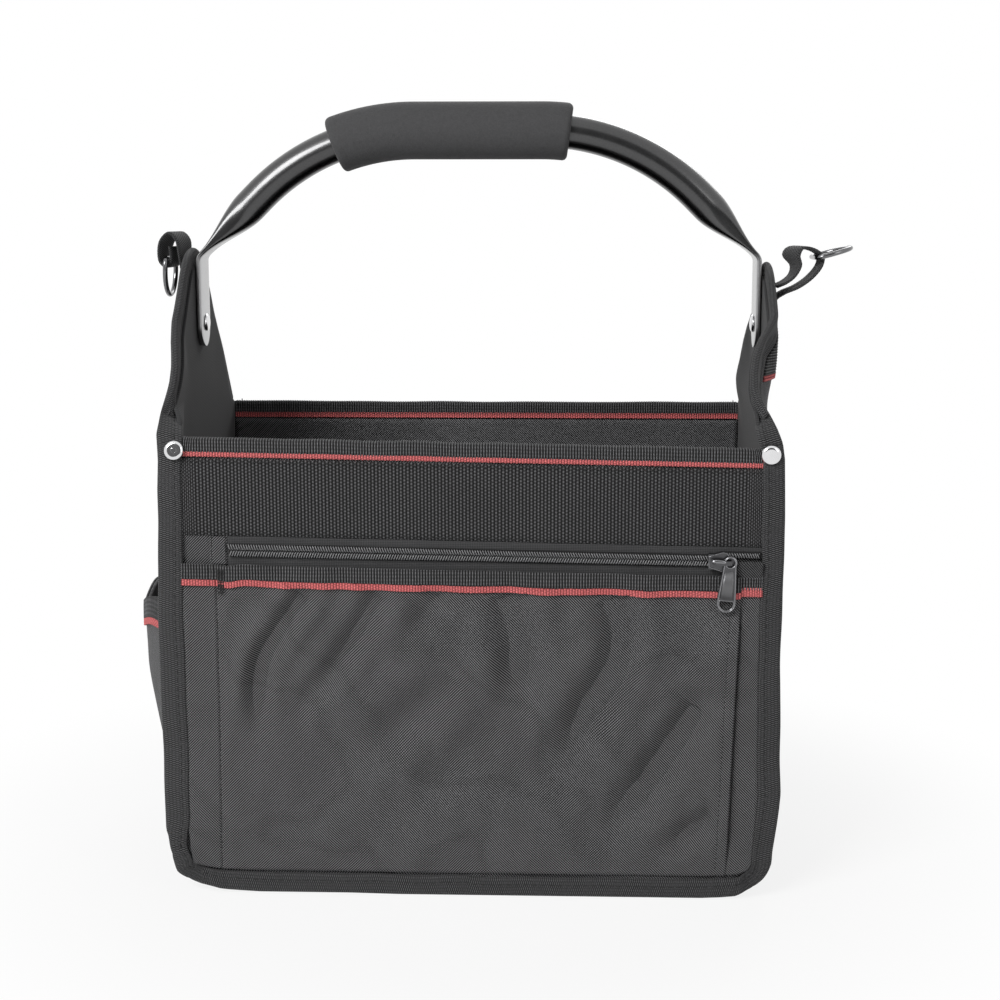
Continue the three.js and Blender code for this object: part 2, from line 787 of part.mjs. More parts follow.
function pocketSheet(bottom, top, offset, thickness, rowCount) {
  const start = pocketSeamX + pocketSeamRun;
  const inner = 7;
  const columns = [-rowHalf, pocketSeamX, pocketSeamX + pocketSeamRun / 2];
  for (let i = 0; i <= inner; i++) columns.push(start + ((gussetFoldX - start) * i) / inner);
  columns.push(gussetFoldX + gussetTurn / 2, gussetFoldX + gussetTurn, rowHalf);
  const face = (extra) =>
    Array.from({ length: rowCount + 1 }, (_, i) =>
      columns.map((column) => {
        const low = bottom > pocketBottom ? rowAt(bottom, column) : bottom;
        const z = low + (rowAt(top, column) - low) * (i / rowCount);
        const free = insideBinding(z);
        const x = Math.min(free, Math.max(-free, column));
        return [x, -(pocketDepth(x, z) + offset + extra), z];
      }),
    );
  return sheet(face(thickness), face(0));
}

const pocketPanel = () => pocketSheet(pocketBottom, pocketTop, 0, pocketThickness, 8);

const pocketTape = (bottom, top) =>
  pocketSheet(bottom, top, pocketThickness + 2 * clearance, trimThickness, 2);

// Bulging pocket on the left end, open at its mouth.
function sidePocketSheet(bottom, top, offset, thickness, rowCount) {
  const columns = 14;
  const height = sidePocketTop - sidePocketBottom;
  const face = (extra) =>
    Array.from({ length: rowCount + 1 }, (_, i) => {
      const z = bottom + ((top - bottom) * i) / rowCount;
      const rise = 1 - (1 - (z - sidePocketBottom) / height) ** sidePocketFill;
      return Array.from({ length: columns + 1 }, (__, j) => {
        const across = Math.sin((Math.PI / 2) * (1 - (2 * j) / columns));
        const out = sidePocketBulge * rise * (1 - Math.abs(across) ** sidePocketSquare);
        return [-(halfWidth + clearance + offset + extra + out), sidePocketHalf * across, z];
      });
    });
  return sheet(face(thickness), face(0));
}

// Point, direction and section of the handle tube at a distance from its middle.
function handleAt(distance) {
  const side = Math.sign(distance) || 1;
  const s = Math.abs(distance);
  const slope = THREE.MathUtils.degToRad(handleSlope);
  const arcEnd = handleStraight + handleBend * slope;
  const arcX = handleStraight + handleBend * Math.sin(slope);
  const arcZ = handleTop - handleBend * (1 - Math.cos(slope));
  const cornerTurn = Math.PI / 2 - slope;
  const setback = tabBendRadius * Math.tan(cornerTurn / 2);
  const runLength = (tabX - arcX) / Math.cos(slope) - setback;
  const tabStart = arcEnd + runLength;
  const tabDown = tabStart + tabBendRadius * cornerTurn;
  const cornerZ = arcZ - (tabX - arcX) * Math.tan(slope);
  let x = s;
  let z = handleTop;
  let angle = 0;
  if (s > handleStraight && s <= arcEnd) {
    angle = (s - handleStraight) / handleBend;
    x = handleStraight + handleBend * Math.sin(angle);
    z = handleTop - handleBend * (1 - Math.cos(angle));
  } else if (s > arcEnd && s <= tabStart) {
    angle = slope;
    x = arcX + (s - arcEnd) * Math.cos(slope);
    z = arcZ - (s - arcEnd) * Math.sin(slope);
  } else if (s > tabStart && s <= tabDown) {
    angle = slope + (s - tabStart) / tabBendRadius;
    const startX = tabX - setback * Math.cos(slope);
    const startZ = cornerZ + setback * Math.sin(slope);
    x = startX + tabBendRadius * (Math.sin(angle) - Math.sin(slope));
    z = startZ - tabBendRadius * (Math.cos(slope) - Math.cos(angle));
  } else if (s > tabDown) {
    angle = Math.PI / 2;
    x = tabX;
    z = cornerZ - setback - (s - tabDown);
  }
  return { x: side * x, z, angle: side * angle, tabStart, tabDown, tabZ: cornerZ - setback };
}

// A ring of points across the tube, from round to flat.
function tubeRing(distance, across, thick, power) {
  const { x, z, angle } = handleAt(distance);
  const sides = tubeSides;
  return Array.from({ length: sides }, (_, i) => {
    const turn = (2 * Math.PI * (i + 0.5)) / sides;
    const c = Math.cos(turn);
    const s = Math.sin(turn);
    const radius = (Math.abs(c) ** power + Math.abs(s) ** power) ** (-1 / power);
    const up = thick * radius * c;
    return [x + up * Math.sin(angle), across * radius * s, z + up * Math.cos(angle)];
  });
}

// Distances along the right half of the tube at which it gets a ring: close at the grip's ends, where
// the tube flattens and round the tab's bend.
function tubeStations() {
  const { tabStart, tabDown, tabZ } = handleAt(0);
  const spacing = 14;
  const rivet = tabDown + tabZ - rivetHeight;
  const flattening = 5;
  const half = [0, gripRight - spacing, gripRight, gripRight + spacing];
  for (let s = -gripLeft; s < tabStart - flattenLength; s += spacing) half.push(s);
  for (let i = 0; i <= flattening; i++) half.push(tabStart - flattenLength * (1 - i / flattening));
  const turn = (tabDown - tabStart) / 3;
  half.push(tabStart + turn, tabStart + 2 * turn, tabDown, rivet - tubeRadius, rivet);
  return { half, rivet, end: tabDown + tabZ - tabTip, tabStart };
}

function handleTube() {
  const { half, end, rivet, tabStart } = tubeStations();
  const tipSteps = 5;
  for (let i = 1; i <= tipSteps; i++) {
    const turn = THREE.MathUtils.degToRad((tipTurn * i) / tipSteps);
    half.push(rivet + (end - rivet) * Math.sin(turn));
  }
  const section = (distance) => {
    const s = Math.abs(distance);
    const flat = smooth((s - tabStart + flattenLength) / flattenLength);
    const across = tubeRadius + (tabWidth / 2 - tubeRadius) * flat;
    const thick = tubeRadius + (tabThickness / 2 - tubeRadius) * flat;
    const tip = Math.max(0, (s - rivet) / (end - rivet));
    return tubeRing(distance, across * Math.sqrt(1 - tip ** 2), thick, 2 + flatPower * flat);
  };
  const stations = [...half.slice(1).reverse().map((s) => -s), ...half];
  const tube = sweep(stations.map(section));
  const hole = (x) => drill("x", rivetShank + clearance, x, 0, rivetHeight);
  return cut(tube, hole(tabX), hole(-tabX));
}

// Foam sleeve on the tube with softened ends.
function handleGrip() {
  const inner = tubeRadius + clearance;
  const outer = gripDiameter / 2;
  const { half } = tubeStations();
  const inside = [...half.slice(1).reverse().map((s) => -s), ...half].filter(
    (s) => s > gripLeft + gripRound && s < gripRight - gripRound,
  );
  const stations = [
    [gripLeft, outer - gripRound],
    [gripLeft + gripRound, outer],
    ...inside.map((s) => [s, outer]),
    [gripRight - gripRound, outer],
    [gripRight, outer - gripRound],
  ];
  const rings = stations.map(([s, radius]) => tubeRing(s, radius, radius, 2));
  const bore = [gripRight, ...[...inside].reverse(), gripLeft];
  return sweep([...rings, ...bore.map((s) => tubeRing(s, inner, inner, 2))], { closed: true });
}

// Rivet along +X from its head's seat: domed head behind the seat, shank in front of it.
function rivet(head, dome, shank, length) {
  const profile = [
    new THREE.Vector2(0, -dome),
    new THREE.Vector2(head * 0.5, -dome * 0.9),
    new THREE.Vector2(head * 0.85, -dome * 0.5),
    new THREE.Vector2(head, 0),
    new THREE.Vector2(shank, 0),
    new THREE.Vector2(shank, length),
    new THREE.Vector2(0, length),
  ];
  return new THREE.LatheGeometry(profile, 16).rotateZ(-Math.PI / 2);
}

function washer(inner, outer, thickness) {
  const profile = [
    new THREE.Vector2(inner, 0),
    new THREE.Vector2(outer, 0),
    new THREE.Vector2(outer, thickness - washerChamfer),
    new THREE.Vector2(outer - washerChamfer, thickness),
    new THREE.Vector2(inner, thickness),
    new THREE.Vector2(inner, 0),
  ];
  return new THREE.LatheGeometry(profile, 16).rotateZ(-Math.PI / 2);
}

// D-ring with its straight bar on the Y axis and its bow towards +X.
function dRing() {
  const radius = ringWire / 2;
  const half = ringInsideWidth / 2 + radius;
  const reach = ringInsideReach + ringWire;
  const path = [];
  const addArc = (cx, cy, r, from, to, steps) => {
    for (let i = 0; i <= steps; i++) {
      const angle = from + ((to - from) * i) / steps;
      path.push([cx + r * Math.cos(angle), cy + r * Math.sin(angle)]);
    }
  };
  addArc(ringCorner, half - ringCorner, ringCorner, Math.PI, Math.PI / 2, 3);
  addArc(reach - half, 0, half, Math.PI / 2, -Math.PI / 2, 14);
  addArc(ringCorner, -half + ringCorner, ringCorner, -Math.PI / 2, -Math.PI, 3);
  const rings = path.map(([px, py], i) => {
    const [ax, ay] = path[(i + path.length - 1) % path.length];
    const [bx, by] = path[(i + 1) % path.length];
    const length = Math.hypot(bx - ax, by - ay);
    const nx = (by - ay) / length;
    const ny = -(bx - ax) / length;
    return Array.from({ length: 8 }, (_, k) => {
      const turn = (2 * Math.PI * k) / 8;
      const out = radius * Math.cos(turn);
      return [px + nx * out, py + ny * out, radius * Math.sin(turn)];
    });
  });
  return sweep(rings, { closed: true });
}

// A ribbon of webbing along a route in X and Z, as wide as the webbing along Y.
function webbing(route) {
  const curve = new THREE.CatmullRomCurve3(
    route.map(([x, z]) => new THREE.Vector3(x, 0, z)),
    false,
    "centripetal",
  );
  const steps = 4 * (route.length - 1);
  const rings = Array.from({ length: steps + 1 }, (_, i) => {
    const point = curve.getPoint(i / steps);
    const along = curve.getTangent(i / steps);
    const half = ringWebbingWidth / 2;
    const thick = ringWebbingThickness / 2;
    const corner = (out, y) => [point.x + along.z * out, y, point.z - along.x * out];
    return [corner(-thick, -half), corner(thick, -half), corner(thick, half), corner(-thick, half)];
  });
  return sweep(rings);
}

const bag = new THREE.Group();

function add(name, geometry, material, parent = bag) {
  const mesh = new THREE.Mesh(geometry, material);
  mesh.name = name;
  parent.add(mesh);
  return mesh;
}

function addBody() {
  add("front_panel", frontPanel(), look.twill());
  add("front_lining", wallLining(-1), look.lining());
  add("back_panel", backPanel(), look.twill());
  add("back_lining", wallLining(1), look.lining());
  const turn = turnCentre - clearance;
  const floorHalf = liningBack - clearance;
  const boardBottom = shellThickness + clearance;
  const boardTop = boardBottom + liningThickness;
  add("base_panel", block(-turn, turn, -endHalfDepth, endHalfDepth, 0, shellThickness), look.twill());
  add("base_board", block(-turn, turn, -floorHalf, floorHalf, boardBottom, boardTop), look.board());
  const floor = boardTop + clearance;
  add(
    "base_lining",
    block(-turnCentre, turnCentre, -floorHalf, floorHalf, floor, floor + floorLiningThickness),
    look.lining(),
  );
  add("front_seam_binding", seamBinding(-1), look.binding());
  add("back_seam_binding", seamBinding(1), look.binding());
}

function addEnd(name, side) {
  add(`${name}_end_panel`, endPanel(side), look.twill());
  add(`${name}_end_lining`, endLining(side), look.lining());
  add(`${name}_flap_binding`, flapBinding(side), look.binding());
  const patchTop = flapPeak - bindingWidth - patchTopMargin;
  add(`${name}_flap_patch`, flapPatch(side, patchBottom, patchTop), look.webbing());
  const stripeTop = patchBottom - clearance;
  add(`${name}_flap_stripe`, flapPatch(side, stripeTop - stripeWidth, stripeTop), look.stripe());
}

function addRims() {
  for (const [name, side] of [["front", -1], ["back", 1]]) {
    add(`${name}_rim_tape`, rimTape(side), look.webbing());
    add(`${name}_rim_stripe`, rimStripe(side, false), look.stripe());
    add(`${name}_rim_inner_stripe`, rimStripe(side, true), look.stripe());
  }
  add("webbing_band", webbingBand(), look.webbing());
}

function addPocket() {
  add("pocket_panel", pocketPanel(), look.twill());
  const trimBottom = pocketTrimTop - pocketTrimHeight;
  add("pocket_trim", pocketTape(trimBottom, pocketTrimTop), look.webbing());
  add("pocket_stripe", pocketTape(pocketStripeTop - pocketStripeWidth, pocketStripeTop), look.stripe());
}

function addSidePocket() {
  const trimBottom = sidePocketTop - sidePocketTrim;
  const over = sidePocketThickness + clearance;
  add(
    "side_pocket",
    sidePocketSheet(sidePocketBottom, sidePocketTop, 0, sidePocketThickness, 8),
    look.twill(),
  );
  add(
    "side_pocket_trim",
    sidePocketSheet(trimBottom, sidePocketTop, over, trimThickness, 2),
    look.webbing(),
  );
  const stripeTop = trimBottom - clearance;
  add(
    "side_pocket_stripe",
    sidePocketSheet(stripeTop - stripeWidth, stripeTop, over, trimThickness, 1),
    look.stripe(),
  );
}

function addZip() {
  add("zip_tape_upper", zipTape(1), look.webbing());
  add("zip_tape_lower", zipTape(-1), look.webbing());
  add("zip_coil_upper", zipCoil(1), look.coil());
  add("zip_coil_lower", zipCoil(-1), look.coil());
  const carriage = new THREE.Group();
  carriage.position.set(sliderTail, 0, rowAt(zipHeight, sliderTail));
  carriage.rotation.y = Math.atan(rowSlope);
  bag.add(carriage);
  add("zip_slider", slider(), look.gunmetal(), carriage);
  const pull = add("zip_pull", pullBody(), look.gunmetal(), carriage);
  pull.position.x = pullEye;
  pull.rotation.y = THREE.MathUtils.degToRad(pullHang);
}

function addHandle() {
  add("handle_tube", handleTube(), look.tube());
  add("handle_grip", handleGrip(), look.foam());
  const seat = tabX - tabThickness / 2 - clearance;
  const washerSeat = halfWidth + clearance + patchThickness + clearance;
  for (const [name, side] of [["left", -1], ["right", 1]]) {
    const length = washerSeat + washerThickness - seat;
    const pin = add(
      `${name}_handle_rivet`,
      rivet(rivetHead, rivetDome, rivetShank, length),
      look.nickel(),
    );
    const ring = add(
      `${name}_rivet_washer`,
      washer(rivetShank + clearance, washerRadius, washerThickness),
      look.nickel(),
    );
    pin.position.set(side * seat, 0, rivetHeight);
    ring.position.set(side * washerSeat, 0, rivetHeight);
    if (side < 0) {
      pin.rotation.z = Math.PI;
      ring.rotation.z = Math.PI;
    }
  }
}

function addCornerRivets() {
  const seat = halfDepth + edgeWrap + clearance;
  const length = seat - bindingBack + clearance;
  for (const [depthName, depth] of [["front", -1], ["back", 1]]) {
    for (const [sideName, side] of [["left", -1], ["right", 1]]) {
      const pin = add(
        `${depthName}_${sideName}_corner_rivet`,
        rivet(cornerRivetHead, cornerRivetDome, cornerRivetShank, length),
        look.nickel(),
      );
      pin.position.set(side * cornerRivetX, depth * seat, cornerRivetHeight);
      pin.rotation.z = depth < 0 ? Math.PI / 2 : -Math.PI / 2;
    }
  }
}

// Webbing loops of the D-rings: how far each point lies out from the face that the webbing is sewn to,
// and how far below the flap's peak. The left loop folds over and the right one sticks out.
const sewn = halfWidth + clearance + patchThickness + clearance + ringWebbingThickness / 2;
const leftLoop = [
  [0, 28],
  [0, 14],
  [0.4, 2],
  [1.5, -6.5],
  [5.5, -10],
  [10, -6],
  [12, 1],
  [11.6, 6.5],
  [8.6, 8.8],
  [5.6, 6.5],
  [5, 1],
  [5.2, -2.5],
];
const leftBar = [8.6, 4.2];
const rightLoop = [
  [0, 32],
  [0.3, 27],
  [5, 23.5],
  [13, 20],
  [20.5, 14.5],
  [25.4, 8],
  [26, 3],
  [22.8, 0],
  [17, -1.8],
  [11.6, -1.4],
  [9.6, 2.5],
  [12.2, 8],
  [10.5, 13.5],
  [6, 17.5],
  [1, 19.8],
];
const rightBar = [22.6, 3.6];
const onFlap = (side, [out, below]) => [side * (sewn + out), flapPeak - below];

function addRing(name, side, loop, bar, tilt) {
  const route = loop.map((point) => onFlap(side, point));
  add(`${name}_ring_webbing`, webbing(route), look.webbing());
  const ring = add(`${name}_d_ring`, dRing(), look.nickel());
  const [x, z] = onFlap(side, bar);
  ring.position.set(x, 0, z);
  ring.rotation.y = THREE.MathUtils.degToRad(-tilt);
}

addBody();
addEnd("left", -1);
addEnd("right", 1);
addRims();
addPocket();
addSidePocket();
addZip();
addHandle();
addCornerRivets();
addRing("left", -1, leftLoop, leftBar, leftRingHang);
addRing("right", 1, rightLoop, rightBar, rightRingTilt);

export default bag;
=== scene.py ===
"""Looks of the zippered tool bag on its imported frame.

The helpers work in millimetres, +X right, front at -Y, +Z up, origin under the middle of the base.
"""
from math import asin, atan, atan2, cos, hypot, pi, radians, sin, sqrt, tan, tau

import bpy
import numpy as np
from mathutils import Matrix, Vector


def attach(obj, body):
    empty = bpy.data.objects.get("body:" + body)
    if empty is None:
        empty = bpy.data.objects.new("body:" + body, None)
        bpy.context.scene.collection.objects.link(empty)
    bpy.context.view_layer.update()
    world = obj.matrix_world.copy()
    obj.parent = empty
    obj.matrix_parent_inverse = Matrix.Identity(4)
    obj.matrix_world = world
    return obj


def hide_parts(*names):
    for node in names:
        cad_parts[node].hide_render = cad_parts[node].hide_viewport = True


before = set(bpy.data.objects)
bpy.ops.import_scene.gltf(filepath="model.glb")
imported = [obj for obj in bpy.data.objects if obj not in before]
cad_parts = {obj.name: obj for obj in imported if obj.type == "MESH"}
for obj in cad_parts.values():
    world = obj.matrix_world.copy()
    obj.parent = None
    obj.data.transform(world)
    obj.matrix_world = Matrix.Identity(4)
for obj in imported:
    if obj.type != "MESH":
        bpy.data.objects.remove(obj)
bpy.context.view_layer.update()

# Sizes repeated from the frame's source
HALF_W, RIM, PEAK = 165.0, 247.0, 344.0
WRAP, CLEAR = 1.6, 0.3
CORNER, TURN = 20.0, 145.0
END_HALF = 95.6
SLOPE = 0.016
BINDING = 11.5
ROW, ROW_RIGHT = 153.2, 154.9
BAND_TOP, BAND_BOTTOM = 235.9, 195.1
ZIP_Z, ZIP_LEFT, ZIP_RIGHT = 187.5, -128.6, 154.6
PART_AT, PART_RUN, PART_MOST = 129.0, 4.5, 1.7
POCKET_TOP, POCKET_BOTTOM, SEAM_X, FOLD_X = 179.0, 13.4, -134.0, 142.5
TRIM_TOP, TRIM_HEIGHT, POCKET_STRIPE = 179.7, 8.1, 3.3
ARC_Z, ARC_R = 308.0, 36.0
FOOT = RIM + SLOPE * HALF_W + 2 * CLEAR
LEAN = atan2(END_HALF, ARC_Z - FOOT) - asin(ARC_R / hypot(END_HALF, ARC_Z - FOOT))
RIVET_Z, TAB_X, TAB_T, TAB_W, TAB_TIP = 303.0, 158.4, 3.0, 26.6, 289.5
SEWN = 167.9
# Near and far faces of the layers: from the bag's middle at the front and back, and at the ends
LINING, SHELL, RIM_TAPE = (95.2, 97.2), (97.5, 100.0), (95.9, 101.6)
END_LINING, END_SHELL, ON_END = (160.2, 162.2), (162.5, 165.0), (165.3, 166.6)
SEWN_ON, BAND_FACE, ZIP_FACE = 100.3, 101.5, 101.1
ENDS, FACES = (("left", -1), ("right", 1)), (("front", -1), ("back", 1))
TAPE_THICK, RIM_TAPE_HALF = 1.3, 159.9
SEAM_WIDTH, FLAP_WIDTH = {-1: 12.4, 1: 10.9}, 12.1
BASE_HALF_X, LINING_HALF = 144.7, 94.9


def smooth(t):
    t = np.clip(t, 0.0, 1.0)
    return t * t * (3 - 2 * t)


def ripple(seed, a, b, length):
    """A smooth wandering field of two coordinates, about -1 to 1, with waves of about that length."""
    rng = np.random.default_rng(seed)
    total = 0
    for _ in range(6):
        turn, phase = rng.uniform(0, tau, 2)
        k = tau / (length * rng.uniform(0.7, 1.6))
        total = total + np.sin(k * (a * cos(turn) + b * sin(turn)) + phase)
    return total / 3.2


def lattice(a, b):
    """Two grids, the first growing along the rows and the second along the columns."""
    return np.meshgrid(a, b, indexing="ij")


def lengths(points):
    """Distances along a run of points."""
    return np.concatenate([[0], np.cumsum(np.linalg.norm(np.diff(points, axis=0), axis=1))])


def heights(low, high, step, extra=()):
    """Even steps from low to high, with some extra values."""
    return np.unique(np.concatenate([np.linspace(low, high, max(2, int((high - low) / step) + 1)), extra]))


def flap_half(z, inset=0.0):
    """Half-width of a flap's outline moved inward by inset, at a height."""
    z = np.asarray(z, float)
    radius = ARC_R - inset
    foot = END_HALF - inset / cos(LEAN)
    y_t, z_t = radius * cos(LEAN), ARC_Z + radius * sin(LEAN)
    line = foot + (y_t - foot) * (z - FOOT) / (z_t - FOOT)
    arc = np.sqrt(np.maximum(0.0, radius**2 - (z - ARC_Z) ** 2))
    return np.where(z <= FOOT, foot, np.where(z < z_t, line, arc))


# The shape that the cloth has taken, on the left (-1) and on the right (1)
EDGE_PULL = {  # how far the front's side edge and a flap's front edge are pulled in, by height
    -1: ((21.6, 25, 28.6, 32, 35, 52, 74, 107, 140, 165, 189, 205, 221, 237, 252, 265, 276, 283, 289, 296, 307,
          321, 332, 344),
         (3.9, 2.8, 2.4, 1.9, 0.9, 0.6, 0.2, -0.3, -0.8, -0.2, 0.7, 1.2, 1.2, 2.0, 1.6, 2.3, 3.0, 2.8, 1.9, 0.6,
          -0.7, -0.6, 1.1, 2.0)),
    1: ((21.6, 26, 29, 36, 42.6, 49, 58, 77, 94, 110, 127, 175, 207, 223, 239, 247, 255, 265, 273, 281, 289, 298,
         302, 311, 344),
        (4.2, 4.0, 3.6, 2.6, 1.7, 1.0, 0.3, 0.8, 1.1, 1.5, 1.9, 1.6, 1.5, 1.9, 2.4, 3.6, 6.3, 11.0, 13.2, 13.2,
         11.6, 7.7, 4.8, 0.6, 0)),
}
CORNER_DRAW = {  # how far a lower corner is drawn in, by distance along the outline from the corner's top
    -1: ((0, 5.2, 10.5, 15.7, 21, 26.2, 31.4), (3.9, 4.3, 3.7, 3.3, 2.3, 1.1, 0)),
    1: ((0, 5.2, 10.5, 15.7, 21, 26.2, 31.4), (4.2, 4.7, 4.9, 4.3, 3.3, 1.6, 0)),
}
CORNER_LIFT = {  # how far it is off the floor, by the same distance
    -1: ((0, 5.2, 10.5, 15.7, 21, 26.2, 31.4, 36.4, 40, 45.4, 54, 62, 111, 138),
         (0.3, 0.2, 0.7, 2.9, 4.8, 5.0, 4.2, 2.9, 1.9, 1.4, 0.9, 0.5, 0.5, 0)),
    1: ((0, 5.2, 10.5, 15.7, 21, 26.2, 31.4, 33.7, 36.4, 41.7, 52),
        (0, 1.0, 1.7, 3.2, 4.1, 4.1, 2.2, 1.2, 1.0, 0.5, 0)),
}


def by_side(table, side, at):
    return np.where(side < 0, np.interp(at, *table[-1]), np.interp(at, *table[1]))


def warp(p):
    """Moves points of the cloth from the plain frame shape to the shape it sags into."""
    x, y, z = p.T
    side, ax, ay = np.where(x < 0, -1.0, 1.0), np.abs(x), np.abs(y)
    near_wall = 0.35 + 0.65 * smooth((ay - 55) / 35)
    # place along the outline of the front and depth under it
    centre = WRAP + CORNER
    turn = np.arctan2(centre - z, ax - TURN)
    in_corner = (ax > TURN) & (z < centre)
    along = np.where(in_corner, CORNER * turn, np.where(z >= centre, centre - z, CORNER * pi / 2 + TURN - ax))
    depth = np.where(in_corner, CORNER - np.hypot(ax - TURN, centre - z), np.minimum(HALF_W - ax, z - WRAP))
    depth = np.where(z >= centre, HALF_W - ax, depth)
    low = smooth((centre - z) / 3) * smooth((18 - depth) / 12) * near_wall
    draw = by_side(CORNER_DRAW, side, along) * low
    lift = by_side(CORNER_LIFT, side, along) * low
    # sides and flaps: the front edge is pulled in
    edge = flap_half(np.clip(z, 0, PEAK - 1))
    across = np.clip((ay - 17) / np.maximum(edge - 17, 6), 0, 1.12)
    share = np.where(across <= 1, smooth(across) ** 2, 1 + 0.3 * (across - 1)) * np.where(y < 0, 1.0, 0.3)
    risen = smooth((z - 238) / 18)
    pull = by_side(EDGE_PULL, side, z) * share * smooth((ax - 147 + 7 * risen) / (12 - 3 * risen))
    pull = pull * smooth((z - centre + 3) / 3)
    # the flaps stay flat where the handle's tabs swing
    pull = pull * smooth((np.hypot(y, z - RIVET_Z) - 38) / 14)
    # the right wall leans in under the handle, and both breathe a little
    lean_in = 3.3 * np.exp(-(((z - 258) / 13) ** 2)) * smooth((92 - ay) / 25) * (side > 0)
    wall = smooth((ax - 156) / 5) * smooth((z - 20) / 60) * smooth((235 - z) / 50)
    breath = wall * (1.2 * ripple(5, y, z, 90) * smooth((92 - ay) / 40) + 0.2 * ripple(6, z, y, 30))
    x = x + side * (breath - draw - pull - lean_in * smooth((ax - 156) / 5))
    sink = 7.7 * smooth((z - 300) / 44) * smooth((x - 150) / 5)
    # the front's foot stands forward
    y = y - 5 * smooth((115 - z) / 115) * smooth((-y - 60) / 40)
    return np.stack([x, y, z + lift - sink], 1)


# Mesh parts: points, lists of face arrays and one uv per face corner, all in millimetres
def oriented(points, faces, uvs):
    volume = 0.0
    for f in faces:
        a = points[f[:, 0]]
        for k in range(1, f.shape[1] - 1):
            volume += float(np.einsum("ij,ij->i", a, np.cross(points[f[:, k]], points[f[:, k + 1]])).sum())
    if volume < 0:
        faces = [f[:, ::-1] for f in faces]
        uvs = [u[:, ::-1] for u in uvs]
    return points, faces, uvs


def corner_uv(uv, i, j):
    return np.stack([uv[i, j], uv[i, j + 1], uv[i + 1, j + 1], uv[i + 1, j]], -2).reshape(-1, 4, 2)


def sheet(outer, inner, uv):
    """A closed sheet between two grids of points, rows x columns x 3."""
    rows, cols = outer.shape[:2]
    i, j = lattice(np.arange(rows - 1), np.arange(cols - 1))
    at = lambda a, b: a * cols + b
    top = np.stack([at(i, j), at(i, j + 1), at(i + 1, j + 1), at(i + 1, j)], -1).reshape(-1, 4)
    low = top[:, ::-1] + rows * cols
    uv_top = corner_uv(uv, i, j)
    ring = [at(0, k) for k in range(cols - 1, -1, -1)] + [at(k, 0) for k in range(1, rows)]
    ring += [at(rows - 1, k) for k in range(1, cols)] + [at(k, cols - 1) for k in range(rows - 2, 0, -1)]
    ring = np.array(ring)
    after = np.roll(ring, -1)
    rim = np.stack([ring, after, after + rows * cols, ring + rows * cols], -1)
    flat = uv.reshape(-1, 2)
    uv_rim = np.stack([flat[ring], flat[after], flat[after], flat[ring]], 1)
    points = np.concatenate([outer.reshape(-1, 3), inner.reshape(-1, 3)])
    return oriented(points, [np.concatenate([top, low, rim])], [np.concatenate([uv_top, uv_top[:, ::-1], uv_rim])])


def facing(side, x, z, near, far, uv=None):
    """A sheet of the front (-1) or the back (1) between two distances from the bag's middle."""
    layer = lambda y: np.stack([x, side * (y + 0 * x), z], -1)
    return sheet(layer(far), layer(near), np.stack([x, z], -1) if uv is None else uv)


def sweep(rings, uv=None, loop=False):
    """A closed body through rings of points, with capped ends unless the run is a loop."""
    count, sides = rings.shape[:2]
    if uv is None:
        around = np.linspace(0, 1, sides + 1) * np.linalg.norm(rings[0] - np.roll(rings[0], 1, 0), axis=1).sum()
        along = lengths(rings.mean(1))
        if loop:
            along = np.append(along, along[-1] + along[1])
        uv = np.stack(lattice(along, around), -1)
    spans = count if loop else count - 1
    i, j = lattice(np.arange(spans), np.arange(sides))
    ni, nj = (i + 1) % count, (j + 1) % sides
    quads = np.stack([i * sides + j, i * sides + nj, ni * sides + nj, ni * sides + j], -1).reshape(-1, 4)
    points, faces, uvs = rings.reshape(-1, 3), [quads], [corner_uv(uv, i, j)]
    if not loop:
        mids = np.stack([rings[0].mean(0), rings[-1].mean(0)])
        points = np.concatenate([points, mids])
        k = np.arange(sides)
        last = (count - 1) * sides
        first_cap = np.stack([(k + 1) % sides, k, np.full(sides, count * sides)], -1)
        last_cap = np.stack([last + k, last + (k + 1) % sides, np.full(sides, count * sides + 1)], -1)
        faces.append(np.concatenate([first_cap, last_cap]))
        uvs.append(np.concatenate([uv[[0] * sides, k], uv[[-1] * sides, k]])[:, None].repeat(3, 1))
    return oriented(points, faces, uvs)


def frames(path, up, loop=False):
    """Tangent, side and up vectors along a path of points."""
    if loop:
        t = np.roll(path, -1, 0) - np.roll(path, 1, 0)
    else:
        t = np.gradient(path, axis=0)
    t = t / np.linalg.norm(t, axis=1)[:, None]
    side = np.cross(t, up)
    side = side / np.linalg.norm(side, axis=1)[:, None]
    return t, side, np.cross(side, t)


def tube(path, radius, up=(0, 1, 0), sides=8, loop=False):
    path = np.asarray(path, float)
    _, side, rise = frames(path, np.asarray(up, float) + np.zeros_like(path), loop)
    turn = tau * np.arange(sides) / sides
    r = np.broadcast_to(radius, (len(path),))[:, None, None]
    ring = np.cos(turn)[None, :, None] * side[:, None] + np.sin(turn)[None, :, None] * rise[:, None]
    return sweep(path[:, None] + r * ring, loop=loop)


def round_arc(cx, cy, r, start, end, steps):
    return [(cx + r * cos(t), cy + r * sin(t)) for t in np.linspace(start, end, steps)]


def resample(path, step):
    """Evenly spaced points and distances along a polyline."""
    path = np.asarray(path, float)
    far = lengths(path)
    at = np.linspace(0, far[-1], max(2, int(round(far[-1] / step)) + 1))
    return np.stack([np.interp(at, far, path[:, k]) for k in range(path.shape[1])], 1), at


